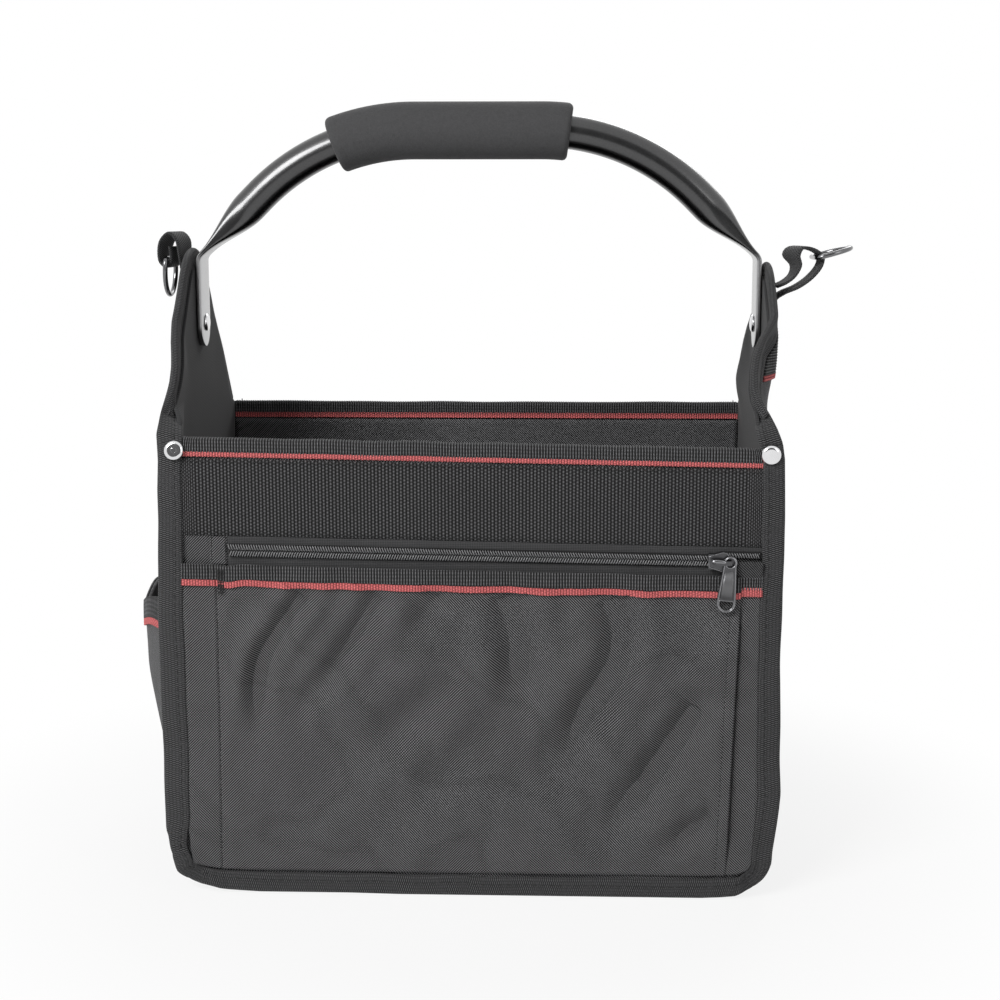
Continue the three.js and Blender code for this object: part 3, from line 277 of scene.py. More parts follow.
def stitches(path, out, pitch=3.1, length=2.2, radius=0.26):
    """A row of thread stitches along a path, each a small rounded bead; out is the way the cloth faces."""
    points, _ = resample(path, pitch)
    out = np.asarray(out, float) + np.zeros_like(points)
    t, side, rise = frames(points, out)
    steps, sides = 5, 6
    s = np.linspace(-1, 1, steps)
    r = radius * np.sqrt(np.maximum(0.12, 1 - s**2))
    turn = tau * np.arange(sides) / sides
    ring = (points[:, None, None] + (s * length / 2)[None, :, None, None] * t[:, None, None]
            + (r[None, :, None] * np.cos(turn))[..., None] * side[:, None, None]
            + (r[None, :, None] * np.sin(turn))[..., None] * rise[:, None, None])
    n = len(points)
    v = ring.reshape(-1, 3)
    k = np.arange(n)[:, None, None] * steps * sides
    i, j = lattice(np.arange(steps - 1), np.arange(sides))
    quad = np.stack([i * sides + j, i * sides + (j + 1) % sides, (i + 1) * sides + (j + 1) % sides,
                     (i + 1) * sides + j], -1).reshape(1, -1, 4)
    cap = np.array([[5, 4, 3, 2], [5, 2, 1, 0]])
    cap = np.concatenate([cap, cap[:, ::-1] + (steps - 1) * sides])[None]
    f = (np.concatenate([quad, cap], 1) + k).reshape(-1, 4)
    return oriented(v, [f], [np.zeros((len(f), 4, 2))])


def merge(*parts):
    points, faces, uvs, start = [], [], [], 0
    for p, f, u in parts:
        points.append(p)
        faces += [a + start for a in f]
        uvs += u
        start += len(p)
    return np.concatenate(points), faces, uvs


def put(name, data):
    """A new object of the scene with that mesh, light or camera."""
    obj = bpy.data.objects.new(name, data)
    bpy.context.scene.collection.objects.link(obj)
    return obj


def piece(name, part, material, node=None, body="bag", soft=True):
    """Adds a part to a body; node is the solid of the frame that it stands for, soft ones sag with the bag."""
    points, faces, uvs = part
    if soft:
        points = warp(points)
    mesh = bpy.data.meshes.new(name)
    mesh.from_pydata((points * 0.001).tolist(), [], [f for a in faces for f in a.tolist()])
    layer = mesh.uv_layers.new(name="weave")
    layer.data.foreach_set("uv", np.concatenate([u.reshape(-1, 2) for u in uvs]).astype(np.float32).ravel())
    mesh.shade_smooth()
    mesh.materials.append(material)
    obj = put(name, mesh)
    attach(obj, body)
    if node:
        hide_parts(node)
    return obj


# Materials
class Val:
    """A shader socket with arithmetic."""

    def __init__(self, graph, socket):
        self.graph, self.socket = graph, socket

    def __add__(self, o):
        return self.graph.math("ADD", self, o)

    def __sub__(self, o):
        return self.graph.math("SUBTRACT", self, o)

    def __mul__(self, o):
        return self.graph.math("MULTIPLY", self, o)

    def wave(self, length, phase=0.0):
        """A cosine of that wavelength, from 0 to 1."""
        turned = self * (tau / length) + phase
        return self.graph.math("COSINE", turned) * 0.5 + 0.5


class Graph:
    """A shader tree whose sockets take plain values, other sockets or Vals."""

    def __init__(self, tree):
        self.tree = tree

    def node(self, kind, operation=None, values=(), **inputs):
        made = self.tree.nodes.new(kind)
        if operation:
            made.operation = operation
        for socket, value in zip(made.inputs, values):
            self.set(socket, value)
        for key, value in inputs.items():
            self.set(made.inputs[key.replace("_", " ")], value)
        return made

    def set(self, socket, value):
        if isinstance(value, (Val, bpy.types.NodeSocket)):
            self.tree.links.new(getattr(value, "socket", value), socket)
        else:
            socket.default_value = value

    def math(self, operation, *values):
        return Val(self, self.node("ShaderNodeMath", operation, values).outputs[0])

    def ramp(self, value, low, high):
        """0 below low and 1 above high, with a smooth step between them."""
        made = self.node("ShaderNodeMapRange", Value=value, From_Min=low, From_Max=high)
        made.interpolation_type = "SMOOTHSTEP"
        return Val(self, made.outputs[0])

    def seen(self):
        """1 for the rays that show the studio itself, and which ray is a reflection."""
        rays = self.tree.nodes.new("ShaderNodeLightPath").outputs
        found = self.math("MAXIMUM", rays["Is Camera Ray"], rays["Is Glossy Ray"])
        return self.math("MAXIMUM", found, rays["Is Transmission Ray"]), rays["Is Glossy Ray"]


class Mat(Graph):
    def __init__(self, name, **constants):
        self.material = bpy.data.materials.new(name)
        self.material.use_nodes = True
        super().__init__(self.material.node_tree)
        self.bsdf = self.tree.nodes["Principled BSDF"]
        self.place = self.tree.nodes.new("ShaderNodeTexCoord").outputs["Object"]
        self.look(**constants)

    def look(self, **inputs):
        for key, value in inputs.items():
            self.set(self.bsdf.inputs[key.replace("_", " ")], value)

    def uv(self):
        made = self.tree.nodes.new("ShaderNodeUVMap")
        made.uv_map = "weave"
        parts = self.node("ShaderNodeSeparateXYZ", Vector=made.outputs["UV"])
        return Val(self, parts.outputs["X"]), Val(self, parts.outputs["Y"])

    def clip(self, value, low=0.0, high=1.0):
        return self.math("MINIMUM", self.math("MAXIMUM", value, low), high)

    def noise(self, length, detail=2.0, seed=0.0):
        """Noise from 0 to 1 with features of that length in millimetres."""
        shift = self.node("ShaderNodeVectorMath", "ADD", (self.place, (seed, seed * 0.7, -seed)))
        made = self.node("ShaderNodeTexNoise", Vector=shift.outputs[0], Scale=1000.0 / length, Detail=detail)
        return Val(self, made.outputs["Fac"])

    def blend(self, factor, low, high):
        """Two colours or colour sockets mixed by a factor."""
        made = self.tree.nodes.new("ShaderNodeMix")
        made.data_type = "RGBA"
        self.set(made.inputs["Factor"], factor)
        for socket, colour in zip(made.inputs[6:8], (low, high)):
            self.set(socket, (*colour, 1) if isinstance(colour, tuple) else colour)
        return made.outputs[2]

    def tint(self, colour, amount):
        """The colour times an amount."""
        return self.node("ShaderNodeVectorMath", "SCALE", (colour,), Scale=amount).outputs[0]

    def bump(self, height, distance, strength=1.0):
        made = self.node("ShaderNodeBump", Height=height, Distance=distance, Strength=strength)
        self.look(Normal=made.outputs[0])


def srgb(value, tint=(1, 1, 1.03)):
    linear = ((value / 255 + 0.055) / 1.055) ** 2.4
    return tuple(linear * c for c in tint)


def cloth(name, height, dark, light, depth, rough=0.85, fuzz=0.5, blotch=0.14, sheen=0.08, wander=0.3, power=1.0):
    """Woven cloth: height gives the yarns' relief from 0 to 1 out of the uv in millimetres; the colour follows the
    relief, painted shade in the gaps between yarns and a painted highlight on their tops.
    """
    mat = Mat(name, Sheen_Weight=sheen, Sheen_Roughness=0.5, Specular_IOR_Level=0.35)
    u, v = mat.uv()
    u = u + (mat.noise(14, 2) - 0.5) * wander
    v = v + (mat.noise(17, 2, 3.1) - 0.5) * wander
    relief = mat.clip(height(mat, u, v))
    fibre = mat.noise(0.5, 3, 1.7)
    # painted shade and highlight: the colour runs from dark in the yarns' gaps to light on their tops
    tone = mat.math("POWER", relief, power) * (fibre * fuzz + (1 - fuzz / 2))
    patch = (mat.noise(38, 3, 5.3) - 0.5) * (2 * blotch) + 1.0
    colour = mat.tint(mat.blend(tone, dark, light), patch)
    mat.look(Base_Color=colour, Roughness=relief * -0.15 + (rough + 0.08))
    mat.bump(relief * 0.8 + fibre * 0.2, depth * 0.001)
    return mat.material


def twill_height(mat, u, v):
    """Diagonal yarns of both ways, the one or the other standing out by region."""
    k = tau / 1.46
    one = mat.math("COSINE", (u - v) * k)
    two = mat.math("COSINE", (u + v) * k)
    lean = mat.clip((mat.noise(60, 1, 7.7) - 0.5) * 4.5 + u * -0.004 + 0.5, 0.05, 0.95)
    other = lean * -1.0 + 1.0
    both = lean * other
    return (one * lean - two * other) * (both * 4.2 + 1.7) + both * 0.6 - 0.24


def rib_height(pitch, grain=2.6):
    def height(mat, u, v):
        return u.wave(pitch) * (v.wave(grain, 0.7) * 0.3 + 0.7)
    return height


def yarn_rows(mat, at, pitch):
    """1 on every second row of yarn and 0 between, and the roundness across each row."""
    at = at * (1 / pitch)
    return mat.math("PINGPONG", mat.math("FLOOR", at), 1.0), mat.math("SINE", mat.math("FRACT", at) * pi)


def web_height(pitch, rise):
    """Columns of yarn with bumps, every second column half a step along."""
    def height(mat, u, v):
        odd, across = yarn_rows(mat, u, pitch)
        return across * ((v + odd * (rise / 2)).wave(rise) * 0.5 + 0.5)
    return height


def tape_height(mat, u, v):
    """Binding tape: ribs across it in rows of dashes, every second row half a step along."""
    odd, across = yarn_rows(mat, v, 1.9)
    return (u + odd * 0.52).wave(1.04) * (across * 0.35 + 0.65)


def fine_height(mat, u, v):
    return u.wave(0.9) * 0.5 + v.wave(0.9) * 0.5


def metal(name, colour, rough, scratches=0.1, **constants):
    mat = Mat(name, Metallic=1.0, **constants)
    smear = mat.noise(6, 4)
    fine = mat.noise(0.6, 2, 2.2)
    worn = mat.blend(smear, tuple(c * 0.82 for c in colour), colour)
    mat.look(Base_Color=worn, Roughness=smear * scratches + (rough - scratches / 2))
    mat.bump(fine, 0.00002, 0.5)
    return mat.material


TWILL = cloth("bag_twill", twill_height, srgb(16), srgb(124), 0.06, fuzz=0.3)
SHADED = cloth("shaded_twill", twill_height, srgb(8), srgb(92), 0.06, fuzz=0.3)
INNER = cloth("lining_twill", twill_height, srgb(14), srgb(136), 0.15, sheen=0.03)
FELT = cloth("lining_smooth", fine_height, srgb(46), srgb(66), 0.05, rough=0.9, fuzz=0.8)
STRAP = cloth("loop_strap", tape_height, srgb(6), srgb(84), 0.2, wander=0.5, fuzz=0.6)
TAPE = cloth("binding_tape", tape_height, srgb(3), srgb(96), 0.25, wander=0.5, fuzz=0.8, power=1.3)
BAND = cloth("webbing_band", web_height(1.85, 1.8), srgb(3), srgb(108), 0.3, wander=0.1, power=2.6, fuzz=0.6)
RIB = cloth("ribbed_tape", rib_height(1.5, 1.9), srgb(4), srgb(116), 0.3, wander=0.3, power=1.9, fuzz=1.0)
RED = cloth("red_stripe", web_height(1.5, 1.45), (0.2, 0.036, 0.04), (0.86, 0.21, 0.21), 0.3, wander=0.1)
ZIPTAPE = cloth("zip_tape", fine_height, srgb(36), srgb(76), 0.08, fuzz=0.9)
THREAD = cloth("thread", fine_height, srgb(10), srgb(36), 0.05)
COIL = Mat("zip_coil", Roughness=0.28, Specular_IOR_Level=0.9)
COIL.look(Base_Color=COIL.blend(COIL.noise(1.2), srgb(84), srgb(140)))
COIL = COIL.material
NICKEL = metal("nickel", (0.82, 0.82, 0.83), 0.1)
RING = metal("ring_nickel", (0.19, 0.19, 0.195), 0.18)
GUNMETAL = metal("gunmetal", (0.12, 0.12, 0.125), 0.36, 0.12)
PLATE = metal("gunmetal_plate", (0.17, 0.17, 0.175), 0.5, 0.12)
# lighter metal for the raised edges of the slider and pull and the bar over the bridge: a painted highlight
HIGHLIGHT_METAL = metal("gunmetal_painted_highlight", (0.27, 0.27, 0.28), 0.25)
# a nearly black sheet behind the zip's coils: painted shade between their turns
DARK = cloth("chain_shadow", fine_height, srgb(5), srgb(14), 0.05, sheen=0.0)


def foam_material():
    mat = Mat("foam", Sheen_Weight=0.12, Sheen_Roughness=0.6, Specular_IOR_Level=0.25)
    grain = mat.noise(0.8, 4)
    pores = mat.noise(2.2, 3, 4.1)
    tone = grain * 0.65 + pores * 0.35
    mat.look(Base_Color=mat.blend(tone, srgb(50), srgb(86)), Roughness=tone * 0.15 + 0.8)
    mat.bump(tone, 0.00035)
    return mat.material


PAINTED_SHINE_BELOW = 0.343  # metres; the tube's flattened ends below it are painted lighter, a painted reflection of the bright studio on their grazing faces


def lacquer_material():
    """Glossy black nickel on the tube, faintly wavy and grained; its flattened ends are painted lighter, a painted
    reflection.
    """
    mat = Mat("black_nickel", Metallic=1.0, Coat_Weight=0.5, Coat_Roughness=0.04)
    speck = mat.noise(0.9, 4)
    height = Val(mat, mat.node("ShaderNodeSeparateXYZ", Vector=mat.place).outputs["Z"])
    # painted reflection: below that height the tabs get a lighter base colour
    tab = mat.clip((height * -1.0 + PAINTED_SHINE_BELOW) * 250)
    dark = mat.blend(speck, (0.055, 0.055, 0.056), (0.09, 0.09, 0.091))
    light = mat.blend(speck, (0.25, 0.25, 0.254), (0.38, 0.38, 0.385))
    mat.look(Base_Color=mat.blend(tab, dark, light), Roughness=mat.noise(9, 2, 1.3) * 0.08 + 0.27)
    mat.bump(mat.noise(14, 2, 6.1) + speck * 0.15, 0.0001, 0.6)
    return mat.material


FOAM = foam_material()
LACQUER = lacquer_material()


# Flat walls
def outline_half(z, inset):
    """Half-width of the front or back panel's outline, moved inward, at a height."""
    radius = CORNER - inset
    below = np.clip(WRAP + CORNER - z, 0, radius)
    return TURN + np.sqrt(np.maximum(0, radius**2 - below**2))


def row_at(z, x):
    """A height of the front's rows, which fall to the right."""
    return z - SLOPE * x


def wall(side, layer, inset, low, high, relief, step=3.0, seed=11):
    """A panel or lining of the front or back."""
    zs = np.concatenate([heights(low, low + 24, 1.2), heights(low + 26, high, step)])
    share = np.linspace(-1, 1, int(2 * HALF_W / step))
    half = outline_half(zs, inset)[:, None]
    x = half * share[None]
    top = smooth((zs - high + 30) / 30)[:, None]
    z = zs[:, None] - SLOPE * x * top * (side < 0)
    near, far = layer
    swell = relief * ripple(seed, x, z, 60)
    return facing(side, x, z, near + swell, far + swell)


for name, side, relief, inner_relief, seed in (("front", -1, 0.4, 0.3, 11), ("back", 1, 0.8, 0.5, 12)):
    piece(f"{name}_shell", wall(side, SHELL, 0, WRAP, RIM - WRAP, relief), TWILL, f"{name}_panel")
    piece(f"{name}_inside", wall(side, LINING, 5.1, 6.3, BAND_TOP, inner_relief, seed=seed), INNER,
          f"{name}_lining")


# End walls and flaps
def end_sheet(side, layers, inset, foot_half, step=3.0):
    """A sheet that follows an end: turned under at the foot, up the wall and into the round flap."""
    zs = np.concatenate([heights(CORNER, FOOT - 3, step), heights(FOOT, ARC_Z + 18, 2.2),
                         ARC_Z + (ARC_R - inset) * np.sin(np.linspace(0.53, 1.5, 16))])
    zs = np.unique(zs[zs < PEAK])
    half = flap_half(zs, inset)
    half = np.where(zs < FOOT - 2, foot_half, half)
    turns = np.linspace(0, pi / 2, 12)[:-1]
    share = np.linspace(-1, 1, int(2 * END_HALF / step))

    def face(layer):
        rows = []
        for a in turns:
            r = layer - TURN
            rows.append((TURN + r * sin(a), CORNER - r * cos(a), foot_half))
        rows += [(layer, z, h) for z, h in zip(zs, half)]
        return np.array([[(side * x, h * s, z) for s in share] for x, z, h in rows])

    inner, outer = (face(layer) for layer in layers)
    along = lengths(outer[:, len(share) // 2])
    uv = np.stack([outer[..., 1], np.broadcast_to(along[:, None], outer.shape[:2])], -1)
    return sheet(outer, inner, uv)


for name, side in ENDS:
    piece(f"{name}_end_shell", end_sheet(side, END_SHELL, 0, END_HALF), TWILL, f"{name}_end_panel")
    points, faces, uvs = end_sheet(side, END_LINING, 6.5, LINING_HALF)
    x, y, z = points.T
    inward = flap_half(np.clip(z, 0, PEAK - 1)) - np.abs(y)
    # the lining's front edge turns in behind the binding
    turned_in = np.sin((1 - smooth((z - RIM + 1.2) / 29)) * pi / 2) * smooth((z - 226) / 16) * (y < 0)
    reach = (12.4 if side < 0 else 10.9) * turned_in - 6.1
    points[:, 0] -= side * np.maximum(0, reach) * smooth((36 - inward) / 28)
    points[:, 1] -= np.minimum(10.2 * turned_in * smooth((24 - inward) / 17), np.maximum(0, y + 99.0))
    piece(f"{name}_end_inside", (points, faces, uvs), FELT, f"{name}_end_lining")


def slab(x, y, z0, z1, step=4.0):
    """A level layer of the base, a little wavy on top."""
    gx, gy = lattice(heights(-x, x, step), heights(-y, y, step))
    top, foot = (np.stack([gx, gy, z + 0 * gx], -1) for z in (z1 + 0.15 * ripple(21, gx, gy, 70), z0))
    return sheet(top, foot, np.stack([gx, gy], -1))


piece("base_shell", slab(BASE_HALF_X, END_HALF, 0, 2.5), TWILL, "base_panel")
piece("base_stiffener", slab(BASE_HALF_X, LINING_HALF, 2.8, 4.8), FELT, "base_board")
piece("base_inside", slab(TURN, LINING_HALF, 5.1, 6.1), INNER, "base_lining")


# Bindings: a tape folded over an edge. Section points are (inset from the edge, distance from the middle).
THREAD_INSET, TAPE_STITCH = 3.9, (4.6, 3.2, 0.35)
FOOT_POINTS = 5  # points at the back foot of a flap's binding that its thread leaves out


def tape_section(near, far, width, inner_width, over, t=TAPE_THICK):
    """Contour of the folded tape: outer leg, round fold, inner leg, and back along the inside."""
    mid, half = (near + far) / 2, (far - near) / 2
    turn = np.linspace(pi / 2, -pi / 2, 9)
    fold = [(0.9 - 2.5 * cos(a), mid + half * sin(a)) for a in turn]
    puff = ((0, -0.6), (0.3, -0.1), (1.2, 0.0), (2.9, 0.05), (3.5, -0.1), (3.9, -0.35), (4.3, -0.1), (5.6, 0.05))
    outer = [(width - a, far + b + over * smooth((8 - a) / 5)) for a, b in puff]
    inner = [(inner_width - a * min(1, inner_width / 12), mid - half - b) for a, b in reversed(puff)]
    back = [(inner_width, near + t), (-0.3, near + t), (-0.3, far - t), (width, far - t)]
    return np.array(outer + fold + inner + back)


def outline(section):
    """Distances round a section, for its uv."""
    around = lengths(section)
    return np.append(around, around[-1] + 1)


def lay_tape(base, inset_dir, thick_dir, sections, lift, width, thread_out, along):
    """A folded tape with sections along an edge, and the line of the thread that sews it on."""
    inset, out = sections[..., :1], sections[..., 1:] + lift
    rings = base[:, None] + inset * inset_dir[:, None] + out * thick_dir[:, None]
    uvs = [np.stack([np.full(len(s) + 1, a), outline(s)], 1) for s, a in zip(sections, along)]
    line = base + (width - THREAD_INSET)[:, None] * inset_dir + thread_out * thick_dir
    return sweep(rings, np.array(uvs)), line


def seam_binding(side):
    """Tape round a panel's sides and foot; it narrows along the foot and is pinched at the left corner."""
    top = RIM - 0.5
    up = [(-TURN, z, -1, 0) for z in heights(WRAP + CORNER, top, 2.5)[::-1]]
    turns = np.linspace(0, pi / 2, 16)[1:-1]
    arc = [(-TURN, WRAP + CORNER, -cos(a), -sin(a)) for a in turns]
    foot = [(x, WRAP + CORNER, 0, -1) for x in heights(-TURN, TURN, 2.0)]
    path = up + arc + foot + [(-x, z, -nx, nz) for x, z, nx, nz in reversed(up + arc)]
    cx, cz, nx, nz = (np.array(c, float) for c in zip(*path))
    x, z = cx + nx * CORNER, cz + nz * CORNER
    along = lengths(np.stack([x, z], 1))
    pinch = np.exp(-(((z - 27) / 9) ** 2)) * (x < -140)
    width = np.where(x < 0, SEAM_WIDTH[-1], SEAM_WIDTH[1]) - (2.2 - 0.7 * (x > 0)) * smooth(-nz * 1.4)
    width = width + 0.35 * ripple(31 + side, along, 0 * along, 26) - 3.6 * pinch
    bunch = (1.6 * pinch + smooth(-nz) * smooth((np.abs(x) - 118) / 20)) * np.sin(along * tau / 5.2 + z / 9)
    sections = np.array([tape_section(*RIM_TAPE, w, 5.6, 1.0) for w in width])
    lift = 0.6 * bunch[:, None, None] * (sections[..., 1:] > 101)
    base = np.stack([x, 0 * x, z], 1)
    inset_dir, thick_dir = np.stack([-nx, 0 * nx, -nz], 1), 0 * base + (0, side, 0)
    tape, line = lay_tape(base, inset_dir, thick_dir, sections, lift, width, 102.25, along)
    return tape, stitches(line, (0, side, 0), *TAPE_STITCH)


for name, side in FACES:
    tape, thread = seam_binding(side)
    piece(f"{name}_binding", tape, TAPE, f"{name}_seam_binding")
    piece(f"{name}_binding_thread", thread, THREAD)


def flap_binding(side):
    """Tape over a flap's edge; near its feet it turns to lie in the front's or back's plane."""
    zs = np.concatenate([heights(RIM - 1.2, FOOT, 1.5), heights(FOOT + 1.5, ARC_Z + ARC_R * sin(LEAN), 2.2)])
    turns = np.linspace(pi / 2 - LEAN, 0, 24)[1:]
    half = [(flap_half(z), z, cos(LEAN), sin(LEAN)) for z in zs]
    half += [(ARC_R * sin(a), ARC_Z + ARC_R * cos(a), sin(a), cos(a)) for a in turns]
    path = [(-y, z, -a, b) for y, z, a, b in half] + half[-2::-1]
    cy, cz, ay, az = (np.array(c, float) for c in zip(*path))
    along = lengths(np.stack([cy, cz], 1))
    rise = cz - RIM + 1.2
    width = SEAM_WIDTH[side] + (FLAP_WIDTH - SEAM_WIDTH[side]) * smooth(rise / 28)
    width = width + 0.35 * ripple(41 + side, along, 0 * along, 24)
    done = np.where(cy < 0, smooth(rise / 29), 1.0)
    bend = smooth(rise / 16)
    front = np.sign(cy)
    out_y, out_z = front * (1 - bend) + ay * bend, az * bend
    base = np.stack([side * (163.75 + 1.25 * (1 - done)), cy + front * 3.15 * (1 - done), cz], 1)
    roll = (1 - done) * pi / 2
    turn, tip = np.cos(roll)[:, None], np.sin(roll)[:, None]
    outward = np.stack([0 * out_y, out_y, out_z], 1)
    sideways = np.array([[side, 0, 0]])
    inset_dir = -turn * outward - tip * sideways
    thick_dir = turn * sideways + tip * outward
    thick = 2.85 - 0.65 * smooth(rise / 35)
    sections = np.array([tape_section(-t, t, w, 5.6 + 0.9 * d, 1 - d, 1.1) for t, w, d in zip(thick, width, done)])
    out = (thick - 0.3 + 0.9 * (1 - done))[:, None]
    tape, line = lay_tape(base, inset_dir, thick_dir, sections, 0, width, out, along)
    return tape, stitches(line[:-FOOT_POINTS], thick_dir.mean(0), *TAPE_STITCH)


for name, side in ENDS:
    tape, thread = flap_binding(side)
    piece(f"{name}_flap_tape", tape, TAPE, f"{name}_flap_binding")
    piece(f"{name}_flap_thread", thread, THREAD)


# Rows on the front and back: strips with woven relief
def strip(side, left, right, low, high, near, far, step, height, slope=True, bulge=0.0, tight=0.0):
    """A strip between two heights that follows the rows' slope. height(u, v) is the relief of its outer face."""
    xs, vs = heights(left, right, step[0]), heights(0, high - low, step[1])
    x, v = lattice(xs, vs)
    z = low + v - (SLOPE * x if slope else 0)
    u = x + tight * np.sign(x) * np.maximum(0, np.abs(x) - 145)
    round_edge = 0.5 * (1 - smooth(np.minimum(v, high - low - v) / 0.7))
    out = far + height(u, v) - round_edge + bulge * ripple(51, x, v, 45)
    return facing(side, x, z, near, out, np.stack([u, v], -1))


def woven(pitch, rise, depth):
    """Relief of columns of yarn with bumps, every second column half a step along."""
    def height(u, v):
        column = np.floor(u / pitch)
        across = np.sin(pi * (u / pitch - column))
        bumps = 0.5 + 0.5 * np.cos(tau * (v + (column % 2) * rise / 2) / rise)
        return depth * (across * (0.4 + 0.6 * bumps) - 0.5)
    return height


def ribbed(pitch, depth):
    return lambda u, v: depth * (0.5 * np.cos(tau * u / pitch))


STRIPE_KNIT, STRIPE_STEP = woven(1.5, 1.45, 0.4), (0.3, 0.29)
band = strip(-1, -ROW, ROW_RIGHT, BAND_BOTTOM, BAND_TOP, SEWN_ON, BAND_FACE, (0.37, 0.36),
             woven(1.85, 1.8, 0.5), bulge=0.15, tight=0.5)
piece("front_band", band, BAND, "webbing_band")
lines = [[(x, -BAND_FACE - 0.45, row_at(z, x)) for x in heights(-ROW, ROW, 4)]
         for z in (BAND_BOTTOM + 1.6, BAND_TOP - 1.4)]
piece("band_thread", merge(*(stitches(line, (0, -1, 0)) for line in lines)), THREAD)


def rim_tape(side):
    """Ribbed tape folded over the rim."""
    top, bottom = RIM, RIM - 7.6
    inner, outer = RIM_TAPE
    mid, half = (outer + inner) / 2, (outer - inner) / 2
    turn = np.linspace(0, pi, 11)
    arch = [(mid + half * cos(a), top - 1.9 + 1.9 * sin(a)) for a in turn]
    legs = np.linspace(bottom, top - 3.2, 5)
    section = [(outer, z) for z in legs] + arch + [(inner, z) for z in legs[::-1]]
    t, roof = TAPE_THICK, top - 2.2
    hollow = [(inner + t, bottom), (inner + t, roof), (outer - t, roof), (outer - t, bottom)]
    section = np.array(section + hollow)
    n_out = len(section) - len(hollow)
    away = np.zeros_like(section)
    away[:n_out, 0] = np.clip((section[:n_out, 0] - mid) / half, -1, 1)
    away[5:-9, 1] = np.sin(turn)
    xs = heights(-RIM_TAPE_HALF, RIM_TAPE_HALF, 0.3)
    ribs = 0.16 * np.cos(tau * xs / 1.5)
    sway = 0.25 * ripple(61 + side, xs, 0 * xs, 40)
    around = np.append(lengths(section), 60)
    yz = section[None] + away[None] * ribs[:, None, None]
    under = (xs[:, None] < -ROW) | (xs[:, None] > (ROW_RIGHT if side < 0 else ROW))
    yz[..., 0] = np.where(under, np.minimum(yz[..., 0], 100.2), yz[..., 0])
    rings = np.stack([np.broadcast_to(xs[:, None], yz.shape[:2]), side * yz[..., 0],
                      yz[..., 1] + sway[:, None] - (SLOPE * xs[:, None] if side < 0 else 0)], -1)
    uv = np.stack(lattice(xs, around), -1)
    return sweep(rings, uv)


for name, side in FACES:
    piece(f"{name}_rim", rim_tape(side), RIB, f"{name}_rim_tape")
    z1 = RIM - 7.0
    right = ROW_RIGHT if side < 0 else ROW
    outer = strip(side, -ROW, right, z1 - 3.1, z1, SEWN_ON, RIM_TAPE[1], STRIPE_STEP, STRIPE_KNIT, slope=side < 0)
    inner = strip(side, -RIM_TAPE_HALF, RIM_TAPE_HALF, z1 - 3.1, z1, LINING[1], RIM_TAPE[0], STRIPE_STEP,
                  lambda u, v: -STRIPE_KNIT(u, v), slope=side < 0)
    piece(f"{name}_red_stripe", outer, RED, f"{name}_rim_stripe")
    piece(f"{name}_red_inner_stripe", inner, RED, f"{name}_rim_inner_stripe")


# Front pocket
SEAM_LINES = (-3.9, -0.9)  # the two rows of stitches of the left seam, from SEAM_X
FOLDS = [  # soft creases of the pocket's cloth: points in x and z, depth, half-width
    ([(-86, 168), (-100, 148), (-112, 130), (-114, 111), (-114, 78)], 2.0, 4.2),
    ([(-46, 168), (-56, 150), (-71, 128), (-83, 112), (-100, 95)], 1.5, 4.6),
    ([(-15, 169), (-24, 155), (-32, 141)], 0.9, 4.5),
    ([(-6, 122), (-38, 95), (-70, 76)], 1.2, 7.5),
    ([(19, 169), (23, 150), (25, 134), (26, 118), (39, 100)], 2.2, 7.5),
    ([(74, 168), (81, 146), (77, 124), (62, 104), (54, 84), (36, 60)], 2.1, 7.0),
    ([(125, 108), (106, 81), (90, 58), (67, 31)], 1.8, 6.5),
    ([(138, 49), (120, 36), (96, 27)], 1.2, 5.0),
    ([(-5, 69), (-31, 46)], 0.7, 8.0),
]


def creases(x, z):
    """Relief of the creases: a groove with a soft swell on each side."""
    total = np.zeros_like(x)
    for points, depth, width in FOLDS:
        dense, far = resample(points, 2.5)
        if len(dense) > 5:
            pad = np.pad(dense, ((4, 4), (0, 0)), mode="edge")
            dense = np.stack([np.convolve(pad[:, k], np.ones(9) / 9, "valid") for k in (0, 1)], 1)
        best = np.full(x.shape, 1e9)
        where = np.zeros(x.shape)
        for k, (px, pz) in enumerate(dense):
            d = np.hypot(x - px, z - pz)
            near = d < best
            best = np.where(near, d, best)
            where = np.where(near, k / max(1, len(dense) - 1), where)
        strong = smooth(where / 0.02 + 0.4) * smooth((1.02 - where) / 0.45)
        s = best / (1.3 * width)
        total += 2.9 * depth * strong * (0.42 * np.exp(-((s - 1.9) / 0.9) ** 2) - np.exp(-(s**2)))
    return total


def pocket_back(x, z):
    """Distance of the pocket panel's back face from the bag's middle, without its creases."""
    left = smooth((x - SEAM_X) / 5)
    right = smooth((FOLD_X + 0.5 - x) / 0.5)
    foot = smooth((z - POCKET_BOTTOM) / 12)
    across = np.sin(pi * np.clip((x - SEAM_X) / (FOLD_X - SEAM_X), 0, 1))
    rise = np.sin(pi * np.clip((z - POCKET_BOTTOM) / (POCKET_TOP - POCKET_BOTTOM), 0, 1))
    low = smooth((160 - z) / 12) * smooth((z - POCKET_BOTTOM) / 12)
    lip = (0.7 + 3.1 * low) * smooth((x - FOLD_X + 26) / 26) * smooth((z - POCKET_BOTTOM) / 30)
    gusset = 1.2 * low * smooth((x - FOLD_X) / 0.5) * np.clip((ROW_RIGHT - x) / (ROW_RIGHT - FOLD_X), 0, 1)
    return 100.3 + left * right * (0.9 * foot + 2.6 * across * rise + lip) + gusset


